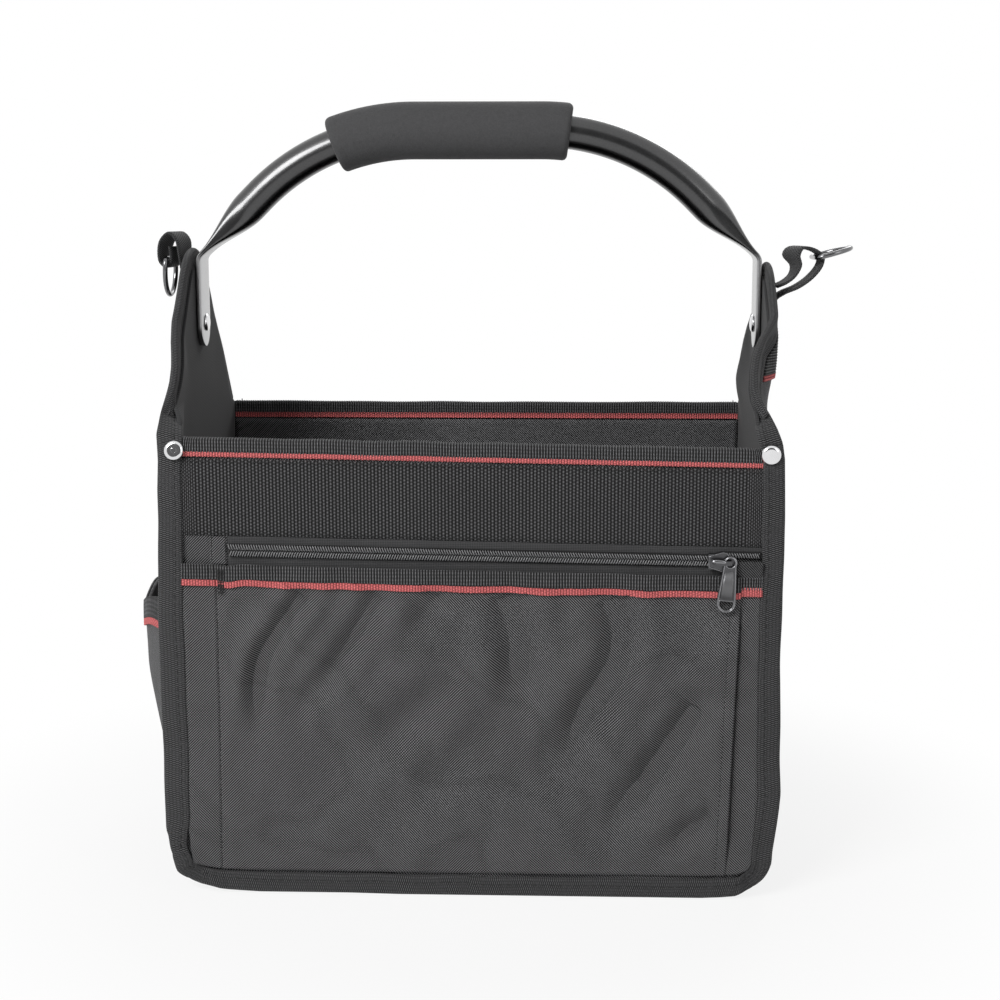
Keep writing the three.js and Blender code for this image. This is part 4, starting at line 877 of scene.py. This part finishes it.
def pocket_front(x, z):
    """Distance of the panel's outer face: bulge, creases, seams with puckers."""
    inside = smooth((x - SEAM_X - 1) / 9) * smooth((FOLD_X - 1 - x) / 7) * smooth((z - POCKET_BOTTOM) / 9)
    near_seam = np.exp(-(((x - SEAM_X) / 6) ** 2))
    pucker = 0.3 * near_seam * np.sin(tau * z / 7.5 + ripple(71, z, x, 40) * 2)
    rest = 0.5 * ripple(72, x, z, 42) + 0.25 * ripple(73, x, z, 18)
    rest = rest + 0.8 * np.sin((0.78 * x - 0.62 * z) / 7.2 + 1.5 * ripple(74, x, z, 90))
    grooves = sum(np.exp(-(((x - SEAM_X - dx) / 0.6) ** 2)) for dx in SEAM_LINES)
    grooves = grooves + 1.2 * np.exp(-(((x - FOLD_X - 0.9) / 0.45) ** 2)) * smooth((165 - z) / 8)
    tuck = 0.6 * np.exp(-(((x - FOLD_X + 5.2) / 0.8) ** 2))
    return pocket_back(x, z) + 1.5 + inside * (creases(x, z) + rest) + pucker - 0.8 * grooves - tuck


def fold_lean(x, z):
    """How far the right fold and what is beside it lean to the left."""
    return 0.036 * (POCKET_TOP - z) * smooth((x - 95) / 45) * smooth((ROW_RIGHT - x) / 12)


def past_fold(x):
    """How far the pocket's top steps up past its right fold."""
    return 1.6 * smooth((x - FOLD_X - 0.3) / 0.6)


def row_wander(x):
    """How far the pocket's tape and stripe leave their row: past the fold, beside it and by the left seam."""
    step = past_fold(x) - 0.9 * np.exp(-(((x - FOLD_X + 3) / 3) ** 2))
    return step * 0.5 + 0.7 * np.exp(-(((x + 118) / 7) ** 2)) - 0.8 * np.exp(-(((x + 128) / 4) ** 2))


def pocket_sheet(low, high, columns, step, under, over, relief=None, flat_low=False):
    """A layer of the pocket between two heights, from under to over its outer face."""
    x, t = lattice(columns, np.linspace(0, 1, max(2, int((high - low) / step) + 1)))
    base = low if flat_low else row_at(low, x)
    z = base + (row_at(high, x) + past_fold(x) - base) * t
    if not flat_low:
        z = z + row_wander(x)
    free = outline_half(z, 10.1)
    x = np.clip(x, -free, free)
    front = pocket_front(x, z)
    out = front + over + (relief(x, z - row_at(low, x)) if relief else 0)
    back = front + under
    x = x - fold_lean(x, z)
    return facing(-1, x, z, back, out)


pocket_columns = np.concatenate([heights(-ROW, SEAM_X - 3, 2.2), heights(SEAM_X - 2.6, SEAM_X + 7, 0.4),
                                 heights(SEAM_X + 8, FOLD_X - 3, 1.9),
                                 heights(FOLD_X - 2.4, FOLD_X + 2.2, 0.35), heights(FOLD_X + 3, ROW_RIGHT, 2.0)])
panel = pocket_sheet(POCKET_BOTTOM, POCKET_TOP, pocket_columns, 1.9, -1.3, 0, flat_low=True)
piece("pocket_cloth", panel, TWILL, "pocket_panel")


def trim_relief(x, v):
    """Ribs of the pocket's tape, and the groove of its seam."""
    return 0.32 * 0.5 * np.cos(tau * x / 1.5) - 0.5 * np.exp(-(((v - 4.2) / 0.45) ** 2))


trim_foot = TRIM_TOP - TRIM_HEIGHT
trim = pocket_sheet(trim_foot, TRIM_TOP, heights(-ROW, ROW_RIGHT, 0.36), 0.7, 0.3, 1.5, trim_relief)
piece("pocket_trim_tape", trim, RIB, "pocket_trim")
stripe = pocket_sheet(trim_foot - CLEAR - POCKET_STRIPE, trim_foot - CLEAR, heights(-ROW, ROW_RIGHT, 0.3), 0.3, 0.3,
                      1.5, woven(1.5, 1.65, 0.4))
piece("pocket_red_stripe", stripe, RED, "pocket_stripe")


def on_pocket(points, lift):
    p = np.array(points, float)
    x = p[:, 0] - fold_lean(p[:, 0], p[:, 1])
    return np.stack([x, -(pocket_front(p[:, 0], p[:, 1]) + lift), p[:, 1]], 1)


def pocket_seam(x, zs, stitch, lift=0.1):
    """Upright stitches on the pocket; stitch is their pitch, length and radius."""
    return stitches(on_pocket([(x, z) for z in zs], lift), (0, -1, 0), *stitch)


seams = [pocket_seam(SEAM_X + dx, heights(16, TRIM_TOP - 13, 3), (3.2, 2.3, 0.3)) for dx in SEAM_LINES]
seams += [pocket_seam(SEAM_X + dx, (TRIM_TOP - 13, TRIM_TOP - 1), (1.9, 1.7, 0.4), 1.6)
          for dx in (0.6, 1.5, 2.4, 3.3)]
seams.append(pocket_seam(FOLD_X - 5.2, heights(18, TRIM_TOP - 14, 3), (3.0, 2.0, 0.22)))
piece("pocket_thread", merge(*seams), THREAD)


# Zip
def part_at(x):
    return PART_MOST * smooth((x - PART_AT) / PART_RUN)


def zip_tape(sign):
    """The upper (1) or lower (-1) tape of the zip, parted at its right end."""
    xs = np.concatenate([heights(ZIP_LEFT, PART_AT - 1, 3), heights(PART_AT, ZIP_RIGHT, 0.8)])
    away = BAND_BOTTOM - CLEAR if sign > 0 else ZIP_Z - 13
    x, t = lattice(xs, np.linspace(0, 1, 9))
    inner = row_at(ZIP_Z + sign * (0.3 + part_at(x)), x)
    z = inner + (row_at(away, x) - inner) * t
    return facing(-1, x, z, SEWN_ON, ZIP_FACE)


def helix(sign):
    """One coil of the chain, leaning the way its turns lie, its sewing thread and a dark sheet behind it, painted
    shade between its turns.
    """
    pitch, wire = 1.36, 0.34
    left, right = ZIP_LEFT + 1, ZIP_RIGHT - 1
    turns = int((right - left) / pitch)
    a = np.linspace(0, tau * turns, turns * 14 + 1)
    x = left + pitch * a / tau + (0 if sign > 0 else pitch / 2)
    closer = smooth((x + 80) / 130)
    middle, half = 1.72 - 0.32 * closer, 1.3 - 0.2 * closer
    z = row_at(ZIP_Z + sign * (middle + half * np.cos(a) + part_at(x)), x)
    y = -102.5 - 0.75 * np.sin(a)
    path = np.stack([x - 0.25 * np.cos(a), y, z], 1)
    # painted shade: a nearly black sheet behind the coil darkens the gaps between its turns
    xs, t = lattice(heights(left, right, 3), np.linspace(0, 1, 3))
    shade_sheet_z = row_at(ZIP_Z + sign * (part_at(xs) + 0.05 + 3.3 * t), xs)
    shade_sheet = facing(-1, xs, shade_sheet_z, ZIP_FACE + 0.1, ZIP_FACE + 1.1, np.stack([xs, t], -1))
    sewn = heights(left, right, 4)
    cord = np.stack([sewn, 0 * sewn - 103.3, row_at(ZIP_Z + sign * (1.7 + part_at(sewn)), sewn)], 1)
    return tube(path, wire, up=(1, 0, 0), sides=6), stitches(cord, (0, -1, 0), pitch, 1.0, 0.16), shade_sheet


for name, sign in (("upper", 1), ("lower", -1)):
    piece(f"{name}_zip_cloth", zip_tape(sign), ZIPTAPE, f"zip_tape_{name}")
    coil, cords, shade_sheet = helix(sign)
    # the painted shade behind the coil
    piece(f"{name}_coil_painted_shade", shade_sheet, DARK)
    piece(f"{name}_zip_coil", coil, COIL, f"zip_coil_{name}")
    piece(f"{name}_coil_thread", cords, THREAD)


def flat_cloth(x0, x1, z0, z1, near, far, lean=0.0):
    """A small flat piece of the front's cloth on its row; lean is how far its top stands out."""
    x, z = lattice(heights(x0, x1, 0.8), heights(z0, z1, 0.8))
    rise = (far - near) * smooth(np.minimum(np.minimum(x - x0, x1 - x), np.minimum(z - z0, z1 - z)) / 1.2)
    rise = rise + lean * (z - z0) / (z1 - z0)
    return facing(-1, x, row_at(z, x), near, near + 0.3 + rise)


piece("zip_cover", flat_cloth(139.6, ROW_RIGHT, TRIM_TOP - 2, ZIP_Z - 0.4, 102.4, 102.8, 2.2), SHADED)
piece("zip_end_fold", flat_cloth(-138.0, -128.2, TRIM_TOP - 1, BAND_BOTTOM - 0.5, 100.5, 101.7), TWILL)
ends = [stitches([(x, -102.0, row_at(z, x)) for z in (TRIM_TOP, BAND_BOTTOM - 1)], (0, -1, 0), 2.6, 1.9, 0.25)
        for x in (-136.8, -129.4)]
piece("zip_end_thread", merge(*ends), THREAD)


# Patches and side pocket on the ends
def flap_patch(side, low, high, relief, step=(0.5, 1.2)):
    near, far = ON_END
    zs = heights(low, high, step[0])
    share = np.linspace(-1, 1, int(150 / step[1]))
    half = flap_half(zs, BINDING + 1)
    y = half[:, None] * share[None]
    z = np.broadcast_to(zs[:, None], y.shape)
    out = far + relief(z - low, y)
    uv = np.stack([z - low, y], -1)
    layer = lambda x: np.stack([side * (x + 0 * y), y, z], -1)
    return sheet(layer(out), layer(near), uv)


for name, side in ENDS:
    piece(f"{name}_patch", flap_patch(side, 278.5, 326.5, ribbed(1.6, 0.35)), RIB, f"{name}_flap_patch")
    knit = lambda v, y: STRIPE_KNIT(y, v)
    piece(f"{name}_patch_stripe", flap_patch(side, 275.3, 278.2, knit, (0.29, 0.4)), RED,
          f"{name}_flap_stripe")


MOUTH_HALF, MOUTH_TOP, MOUTH_FOOT, MOUTH_SWELL = 76, 134.5, 22, 26.3  # of the pocket on the left end


def side_pocket(low, high, over, thick, step, relief=None):
    """The bulging pocket on the left end; its mouth rises towards both seams."""
    zs = heights(low, high, step[1])
    ys = MOUTH_HALF * np.sin(np.linspace(-pi / 2, pi / 2, int(190 / step[0])))
    y, z = lattice(ys, zs)
    t = np.clip((z - MOUTH_FOOT) / (MOUTH_TOP - MOUTH_FOOT), 0, 1)
    swell = 1 - (np.abs(y) / MOUTH_HALF) ** 2.3
    fold = 1.2 * np.sin(tau * y / 46 + 1.0) * smooth((60 - np.abs(y)) / 20) + 0.8 * ripple(81, y, z, 35)
    x = ON_END[0] + over + (1 - (1 - t) ** 2) * swell * (MOUTH_SWELL + np.minimum(0.0, fold)) - 0.2
    out = x + thick + (relief(y, z - low) if relief else 0)
    uv = np.stack([y, z - low], -1)
    z = z + t**2 * (6.0 + 14 * smooth((-y - 8) / 56) + 9 * smooth((y + 22) / 40))
    return sheet(np.stack([-out, y, z], -1), np.stack([-x, y, z], -1), uv)


piece("side_pocket_cloth", side_pocket(MOUTH_FOOT, MOUTH_TOP, 0.2, 1.8, (2.0, 2.0)), TWILL, "side_pocket")
piece("side_pocket_tape", side_pocket(125.6, MOUTH_TOP, 2.4, 1.0, (0.36, 0.8), ribbed(1.5, 0.3)), RIB,
      "side_pocket_trim")
piece("side_pocket_red", side_pocket(122.2, 125.3, 2.4, 1.0, STRIPE_STEP, STRIPE_KNIT), RED,
      "side_pocket_stripe")


# Handle: a flat middle, a bend to each side, a straight leg, an elbow and a tab that hangs down
TUBE_R, STRAIGHT, BEND_R, LEG, ELBOW_R, TOP = 9.5, 36.0, 125.0, pi / 4, 6.0, 411.0
BEND_X, BEND_Z = STRAIGHT + BEND_R * sin(LEG), TOP - BEND_R * (1 - cos(LEG))
SETBACK = ELBOW_R * tan((pi / 2 - LEG) / 2)
BEND_END = STRAIGHT + BEND_R * LEG
TAB_START = BEND_END + (TAB_X - BEND_X) / cos(LEG) - SETBACK
TAB_DOWN = TAB_START + ELBOW_R * (pi / 2 - LEG)
CORNER_Z = BEND_Z - (TAB_X - BEND_X) * tan(LEG)
TAB_Z = CORNER_Z - SETBACK
GRIP_LEFT, GRIP_RIGHT, GRIP_R, GRIP_ROUND, BORE_R = -82.3, 52.0, 16.0, 3, 9.8


def handle_at(distance):
    """Point and slope of the tube's centreline at a distance from its middle."""
    side, s = (-1 if distance < 0 else 1), abs(distance)
    if s <= STRAIGHT:
        x, z, a = s, TOP, 0.0
    elif s <= BEND_END:
        a = (s - STRAIGHT) / BEND_R
        x, z = STRAIGHT + BEND_R * sin(a), TOP - BEND_R * (1 - cos(a))
    elif s <= TAB_START:
        a = LEG
        x, z = BEND_X + (s - BEND_END) * cos(a), BEND_Z - (s - BEND_END) * sin(a)
    elif s <= TAB_DOWN:
        a = LEG + (s - TAB_START) / ELBOW_R
        x = TAB_X - SETBACK * cos(LEG) + ELBOW_R * (sin(a) - sin(LEG))
        z = CORNER_Z + SETBACK * sin(LEG) - ELBOW_R * (cos(LEG) - cos(a))
    else:
        a = pi / 2
        x, z = TAB_X, TAB_Z - (s - TAB_DOWN)
    return side * x, z, side * a


def cross_ring(distance, across, thick, power=2, sides=48):
    """A section of the handle: an oval that a higher power squares."""
    x, z, a = handle_at(distance)
    turn = tau * (np.arange(sides) + 0.5) / sides
    c, s = np.cos(turn), np.sin(turn)
    r = (np.abs(c) ** power + np.abs(s) ** power) ** (-1 / power)
    up = thick * r * c
    return np.stack([x + up * sin(a), across * r * s, z + up * cos(a)], 1)


def handle_tube():
    """The bent tube, pressed flat towards its tabs, whose ends are round."""
    rivet, end = TAB_DOWN + TAB_Z - RIVET_Z, TAB_DOWN + TAB_Z - TAB_TIP
    half = list(np.arange(0, TAB_START - 40, 3.0)) + list(np.linspace(TAB_START - 39, TAB_START - 0.5, 26))
    half += list(np.linspace(TAB_START, TAB_DOWN, 9)) + list(np.linspace(TAB_DOWN + 1, rivet, 18))
    half += [rivet + (end - rivet) * sin(t) for t in np.linspace(0.1, 1.5, 14)]
    rings = []
    for s in [-v for v in half[:0:-1]] + half:
        flat = smooth((abs(s) - TAB_START + 38) / 38)
        tip = max(0.0, (abs(s) - rivet) / (end - rivet))
        across = (TUBE_R + (TAB_W / 2 - TUBE_R) * flat) * sqrt(max(0.003, 1 - tip**2))
        thick = TUBE_R + (TAB_T / 2 - TUBE_R) * flat
        rings.append(cross_ring(s, across, thick, 2 + 4 * flat))
    return sweep(np.array(rings))


piece("tube", handle_tube(), LACQUER, "handle_tube", body="handle", soft=False)


def grip():
    """The foam sleeve: its outside from left to right with rounded ends, and back along its bore."""
    ends = np.linspace(0, pi / 2, 7)
    flat = GRIP_R - GRIP_ROUND
    run = [(GRIP_LEFT, BORE_R)]
    run += [(GRIP_LEFT + GRIP_ROUND * (1 - cos(a)), flat + GRIP_ROUND * sin(a)) for a in ends]
    run += [(s, GRIP_R) for s in heights(GRIP_LEFT + 5, GRIP_RIGHT - 5, 3)]
    run += [(GRIP_RIGHT - GRIP_ROUND * (1 - sin(a)), flat + GRIP_ROUND * cos(a)) for a in ends]
    run += [(s, BORE_R) for s in heights(GRIP_LEFT + 2, GRIP_RIGHT, 3)[::-1]]
    return sweep(np.array([cross_ring(s, r, r) for s, r in run]), loop=True)


foam = piece("foam_grip", grip(), FOAM, "handle_grip", body="handle", soft=False)


# Rings and their webbing
def spline(points, steps):
    """Centripetal Catmull-Rom curve through points, as the frame's source draws it."""
    p = np.array(points, float)
    q = np.concatenate([[2 * p[0] - p[1]], p, [2 * p[-1] - p[-2]]])
    out = []
    for i in range(len(p) - 1):
        p0, p1, p2, p3 = q[i : i + 4]
        t0, t1, t2, t3 = np.cumsum([0.0, *np.linalg.norm(np.diff(q[i : i + 4], axis=0), axis=1) ** 0.5])
        for t in np.linspace(t1, t2, steps, endpoint=False):
            mix = lambda a, b, start, end: ((end - t) * a + (t - start) * b) / (end - start)
            near = mix(p1, p2, t1, t2)
            out.append(mix(mix(mix(p0, p1, t0, t1), near, t0, t2), mix(near, mix(p2, p3, t2, t3), t1, t3), t1, t2))
    return np.array([*out, p[-1]])


def loop_webbing(side, route, bend):
    """The folded strap of a ring; bend is the place, angle and spread of its twist."""
    line, along = resample(spline([(side * (SEWN + o), PEAK - d) for o, d in route], 12), 0.5)
    (bend_x, bend_z), angle, spread = bend
    away = np.hypot(line[:, 0] - side * (SEWN + bend_x), line[:, 1] - PEAK + bend_z)
    twist = -side * radians(angle) * np.exp(-((away / spread) ** 2)) * smooth((along - 8) / 14)
    t = np.gradient(line, axis=0)
    t = t / np.linalg.norm(t, axis=1)[:, None]
    nx, nz = t[:, 1], -t[:, 0]
    ribs = 0.05 * np.cos(tau * along / 1.7)
    ys = np.linspace(-11.2, 11.2, 23)
    section = np.array([(y, -1) for y in ys] + [(11.6, 0)] + [(y, 1) for y in ys[::-1]] + [(-11.6, 0)])
    half = 0.85 - 0.25 * np.exp(-(((np.abs(section[:, 0]) - 11.2) / 0.8) ** 2))
    off = section[:, 1] * half
    rings = np.stack([line[:, None, 0] + nx[:, None] * (off + ribs[:, None] * section[:, 1]),
                      np.broadcast_to(section[:, 0], (len(line), len(section))),
                      line[:, None, 1] + nz[:, None] * (off + ribs[:, None] * section[:, 1])], -1)
    rings[..., 0] += np.sin(twist)[:, None] * rings[..., 1]
    around = np.append(lengths(section), 50)
    return sweep(rings, np.stack(lattice(along * 1.5 / 1.7, around), -1))


# Side, route of the webbing, ring bar's place, ring's tilt and the webbing's twist
LOOPS = {
    "left": (-1, [(0, 28), (0, 14), (0.4, 2), (1.5, -6.5), (5.5, -10), (10, -6), (12, 1), (11.6, 6.5), (8.6, 8.8),
                  (5.6, 6.5), (5, 1), (5.2, -2.5)], (8.6, 4.2), -92, ((6, -6), 9, 13)),
    "right": (1, [(0, 32), (0.3, 27), (5, 23.5), (13, 20), (20.5, 14.5), (25.4, 8), (26, 3), (22.8, 0), (17, -1.8),
                  (11.6, -1.4), (9.6, 2.5), (12.2, 8), (10.5, 13.5), (6, 17.5), (1, 19.8)], (22.6, 3.6), 15,
              ((9.0, 1), 17, 9)),
}


def d_ring(side, bar, tilt):
    """A ring of round wire whose straight bar lies at a place in its webbing."""
    radius, corner = 1.4, 4.0
    half, reach = 12.5 + radius, 18 + 2 * radius
    path = round_arc(corner, half - corner, corner, pi, pi / 2, 8)
    path += round_arc(reach - half, 0, half, pi / 2, -pi / 2, 40)[1:]
    path += round_arc(corner, corner - half, corner, -pi / 2, -pi, 8)[1:]
    path += [(0, y) for y in np.linspace(corner - half + 1.2, half - corner - 1.2, 14)]
    p = np.array([(x, y, 0) for x, y in path])
    a = radians(-tilt)
    x = p[:, 0] * cos(a)
    z = -p[:, 0] * sin(a)
    place = np.stack([side * (SEWN + bar[0]) + x, p[:, 1], PEAK - bar[1] + z], 1)
    up = np.array([sin(a), 0, cos(a)])
    return tube(place, radius, up=up, sides=16, loop=True)


for name, (side, route, bar, tilt, bend) in LOOPS.items():
    piece(f"{name}_webbing_loop", loop_webbing(side, route, bend), STRAP, f"{name}_ring_webbing",
          soft=False)
    piece(f"{name}_ring_wire", d_ring(side, bar, tilt), RING, f"{name}_d_ring", body=f"{name}_ring",
          soft=False)


# Rivets get new heads; their washers, the slider and the pull keep the frame's solids, the slider's and pull's edges
# softened and smoothed
def finish_node(name, material, bevel=0.0):
    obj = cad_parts[name]
    obj.data.materials.clear()
    obj.data.materials.append(material)
    if bevel:
        mod = obj.modifiers.new("edges", "BEVEL")
        mod.width, mod.segments, mod.limit_method, mod.angle_limit = bevel * 0.001, 2, "ANGLE", radians(40)
        mod.harden_normals = True
    return obj


def rivet_head(place, direction, head, dome, shank, length, lean=0.0, cap=0.0):
    """A rivet along a direction into the part; lean tips its face up, cap is the radius of a flat middle."""
    turns = np.linspace(0.08, 1.45, 14)
    profile = [(-dome, 0.05)]
    if cap:  # flat, with a fine turned groove
        profile += [(-dome + 0.03 * (share == 0.47), cap * share)
                    for share in (0.12, 0.3, 0.42, 0.47, 0.52, 0.64, 0.8, 0.95)]
    profile += [(-dome * cos(a), cap + (head - cap) * sin(a)) for a in turns]
    profile += [(-0.15, head), (0.1, head - 0.15), (0.15, shank + 0.1), (0.2, shank), (length, shank)]
    turn = tau * np.arange(48) / 48
    rings = np.array([[(d, r * cos(t), r * sin(t)) for t in turn] for d, r in profile])
    d = np.array([direction[0], direction[1], -lean], float)
    d = d / np.linalg.norm(d)
    side = np.cross(d, (0, 0, 1.0))
    side = side / np.linalg.norm(side)
    up = np.cross(side, d)
    flat = rings[..., 0:1] * d + rings[..., 1:2] * side + rings[..., 2:3] * up
    return sweep(flat + np.array(place, float))


for name, side in ENDS:
    seat = TAB_X - TAB_T / 2 - CLEAR
    piece(f"{name}_rivet", rivet_head((side * seat, 0, RIVET_Z), (side, 0), 5.0, 1.8, 2.4, 11.9), NICKEL,
          f"{name}_handle_rivet", soft=False)
    finish_node(f"{name}_rivet_washer", NICKEL)
for name, x, y, z, lean in (("front_left", -155.0, -103.2, 242.7, 0.2), ("front_right", 156.4, -103.2, 241.6, -0.1),
                            ("back_left", -156.6, 101.95, 241.5, 0), ("back_right", 156.6, 101.95, 241.5, 0)):
    piece(f"{name}_rivet", rivet_head((x, y, z), (0, -np.sign(y)), 5.2, 1.7, 1.8, 5.2, lean, 3.1), NICKEL,
          f"{name}_corner_rivet", soft=False)


# Slider and pull: the frame's solids in dark metal, with raised edges in a lighter metal, a painted highlight, and a
# raised plate
def placed(points, origin, lean, y):
    """Points of a tag's own plane, turned by a lean and set in the bag at a depth."""
    p = np.array(points, float)
    c, s = cos(lean), sin(lean)
    return np.stack([origin[0] + p[:, 0] * c + p[:, 1] * s, y + 0 * p[:, 0], origin[1] - p[:, 0] * s + p[:, 1] * c], 1)


finish_node("zip_slider", GUNMETAL, 0.25)
finish_node("zip_pull", GUNMETAL, 0.25)
EYE, HANG, PULL_FACE = (136.2986, 185.3192), radians(4.8), -107.3
HEAD_R, FOOT_R, FOOT_Z, INSET = 3.6, 4.9, -21.7, 0.45  # of the pull


def closed(points, step):
    """Evenly spaced points round a closed outline."""
    return resample(np.array([*points, points[0]]), step)[0][:-1]


edge = round_arc(0, 0, HEAD_R - INSET, -0.42, pi + 0.42, 22)
edge += [(-FOOT_R + INSET, FOOT_Z)] + round_arc(0, FOOT_Z, FOOT_R - INSET, pi, tau, 20)[1:]
edge = closed(edge, 0.45)
window = closed(round_arc(0, FOOT_Z, 3.9, pi, tau, 18) + [(3.6, -20.3), (-3.6, -20.3)], 0.45)
eye = np.array(round_arc(0, 0, 2.75, 0, tau, 30)[:-1])
# raised edges of the pull in the lighter metal: real relief with a painted highlight
lines = [tube(placed(points, EYE, HANG, PULL_FACE), radius, sides=8, loop=True)
         for points, radius in ((edge, 0.36), (window, 0.28), (eye, 0.4))]
piece("pull_edges", merge(*lines), HIGHLIGHT_METAL, body="pull", soft=False)
plate = np.array([[(w * u, z) for u in np.linspace(-1, 1, 7)] for w, z in ((2.5, -4.6), (3.1, -12), (3.8, -19.6))])
flat = placed(plate.reshape(-1, 2), EYE, HANG, PULL_FACE).reshape(3, 7, 3)
tilt = np.array([0.05, 0.0, -0.05, -0.1, -0.15, -0.2, 0.1])[None, :, None] * (0, 1, 0)  # of the plate's face
piece("pull_plate", sheet(flat + tilt, flat + (0, 0.75, 0), plate), PLATE, body="pull", soft=False)

TAIL, TILT = (125.0, 185.5), atan(SLOPE)
plan = [(0.3, 2.7), (7.3, 4.95), (9.5, 4.55), (12.0, 1.7), (12.0, -1.7), (9.5, -4.55), (7.3, -4.95), (0.3, -2.7)]
rim = tube(placed(closed(plan, 0.5), TAIL, TILT, -105.15), 0.3, sides=8, loop=True)
# a rounded bar over the slider's bridge, in the lighter metal: a painted highlight on it
bridge_highlight = [(1.4, 0.9), (2.0, 0.9), (3.6, 0.9), (6, 0.8), (8, 0.6), (9.6, 0.4)]
sizes = np.array([0.5, 1.05, 1.15, 1.1, 1.0, 0.55])
bridge_highlight = tube(placed(bridge_highlight, TAIL, TILT, -108.45), sizes, up=(0, 1, 0), sides=12)
piece("slider_edges", merge(rim, bridge_highlight), HIGHLIGHT_METAL, body="slider", soft=False)


# Studio
def area(name, place, target, size, power):
    light = bpy.data.lights.new(name, "AREA")
    light.shape, light.size, light.size_y = "RECTANGLE", *size
    light.energy = power
    obj = put(name, light)
    obj.location = place
    obj.rotation_euler = (Vector(target) - Vector(place)).to_track_quat("-Z", "Y").to_euler()


area("key", (-1.0, -1.42, 1.3), (0, -0.05, 0.15), (0.9, 0.8), 31)
area("fill", (1.3, -1.3, 0.8), (0, 0, 0.2), (0.8, 0.9), 4)
area("back", (0.2, 1.6, 1.3), (0, 0, 0.2), (1.4, 0.8), 12)
AMBIENT = 0.12  # strength of the world's own light on the bag
ROOM_DARK = 0.88  # how much darker the end of the room in front of the bag is, in reflections
FLOOR_HALF, FLOOR_FADE = 6, (0.18, 0.4)


def stage():
    mesh = bpy.data.meshes.new("floor")
    corners = [(FLOOR_HALF * x, FLOOR_HALF * y, 0) for x, y in ((-1, -1), (1, -1), (1, 1), (-1, 1))]
    mesh.from_pydata(corners, [], [(0, 1, 2, 3)])
    obj = put("floor", mesh)
    mat = Mat("floor_paper", Roughness=0.9, Specular_IOR_Level=0.2)
    mat.look(Base_Color=mat.blend(mat.noise(3), (0.94, 0.94, 0.94), (0.96, 0.96, 0.96)))
    # further out the paper fades into the white of the backdrop
    away = mat.node("ShaderNodeVectorMath", "LENGTH", (mat.place,)).outputs["Value"]
    seen, _ = mat.seen()
    share = (mat.ramp(away, *FLOOR_FADE) * 0.15 + 0.85) * seen
    glow = mat.tree.nodes.new("ShaderNodeEmission").outputs[0]
    mix = mat.node("ShaderNodeMixShader", None, (share, mat.bsdf.outputs[0], glow))
    mat.set(mat.tree.nodes["Material Output"].inputs["Surface"], mix.outputs[0])
    mesh.materials.append(mat.material)

    world = bpy.data.worlds.new("studio")
    bpy.context.scene.world = world
    world.use_nodes = True
    room = Graph(world.node_tree)
    seen, reflected = room.seen()
    # metal also shows the dark end of the room, in front of the bag
    where = room.tree.nodes.new("ShaderNodeTexCoord").outputs["Generated"]
    ahead = room.node("ShaderNodeVectorMath", "DOT_PRODUCT", (where, (0.05, -0.97, 0.24))).outputs["Value"]
    dark = room.ramp(ahead, 0.86, 0.93) * reflected * -ROOM_DARK
    back = room.tree.nodes["Background"].inputs
    room.set(back["Color"], (1, 1, 1, 1))
    room.set(back["Strength"], dark + (seen * (1 - AMBIENT) + AMBIENT))


def camera():
    data = bpy.data.cameras.new("camera")
    data.lens, data.sensor_width = 62.388, 36.0
    data.clip_start, data.clip_end = 0.05, 30
    obj = put("camera", data)
    obj.location = (0.046, -0.996, 0.367)
    obj.rotation_euler = (radians(90 - 9.51), 0, radians(1.93))
    bpy.context.scene.camera = obj


stage()
camera()
bpy.context.scene.view_settings.view_transform = "Standard"
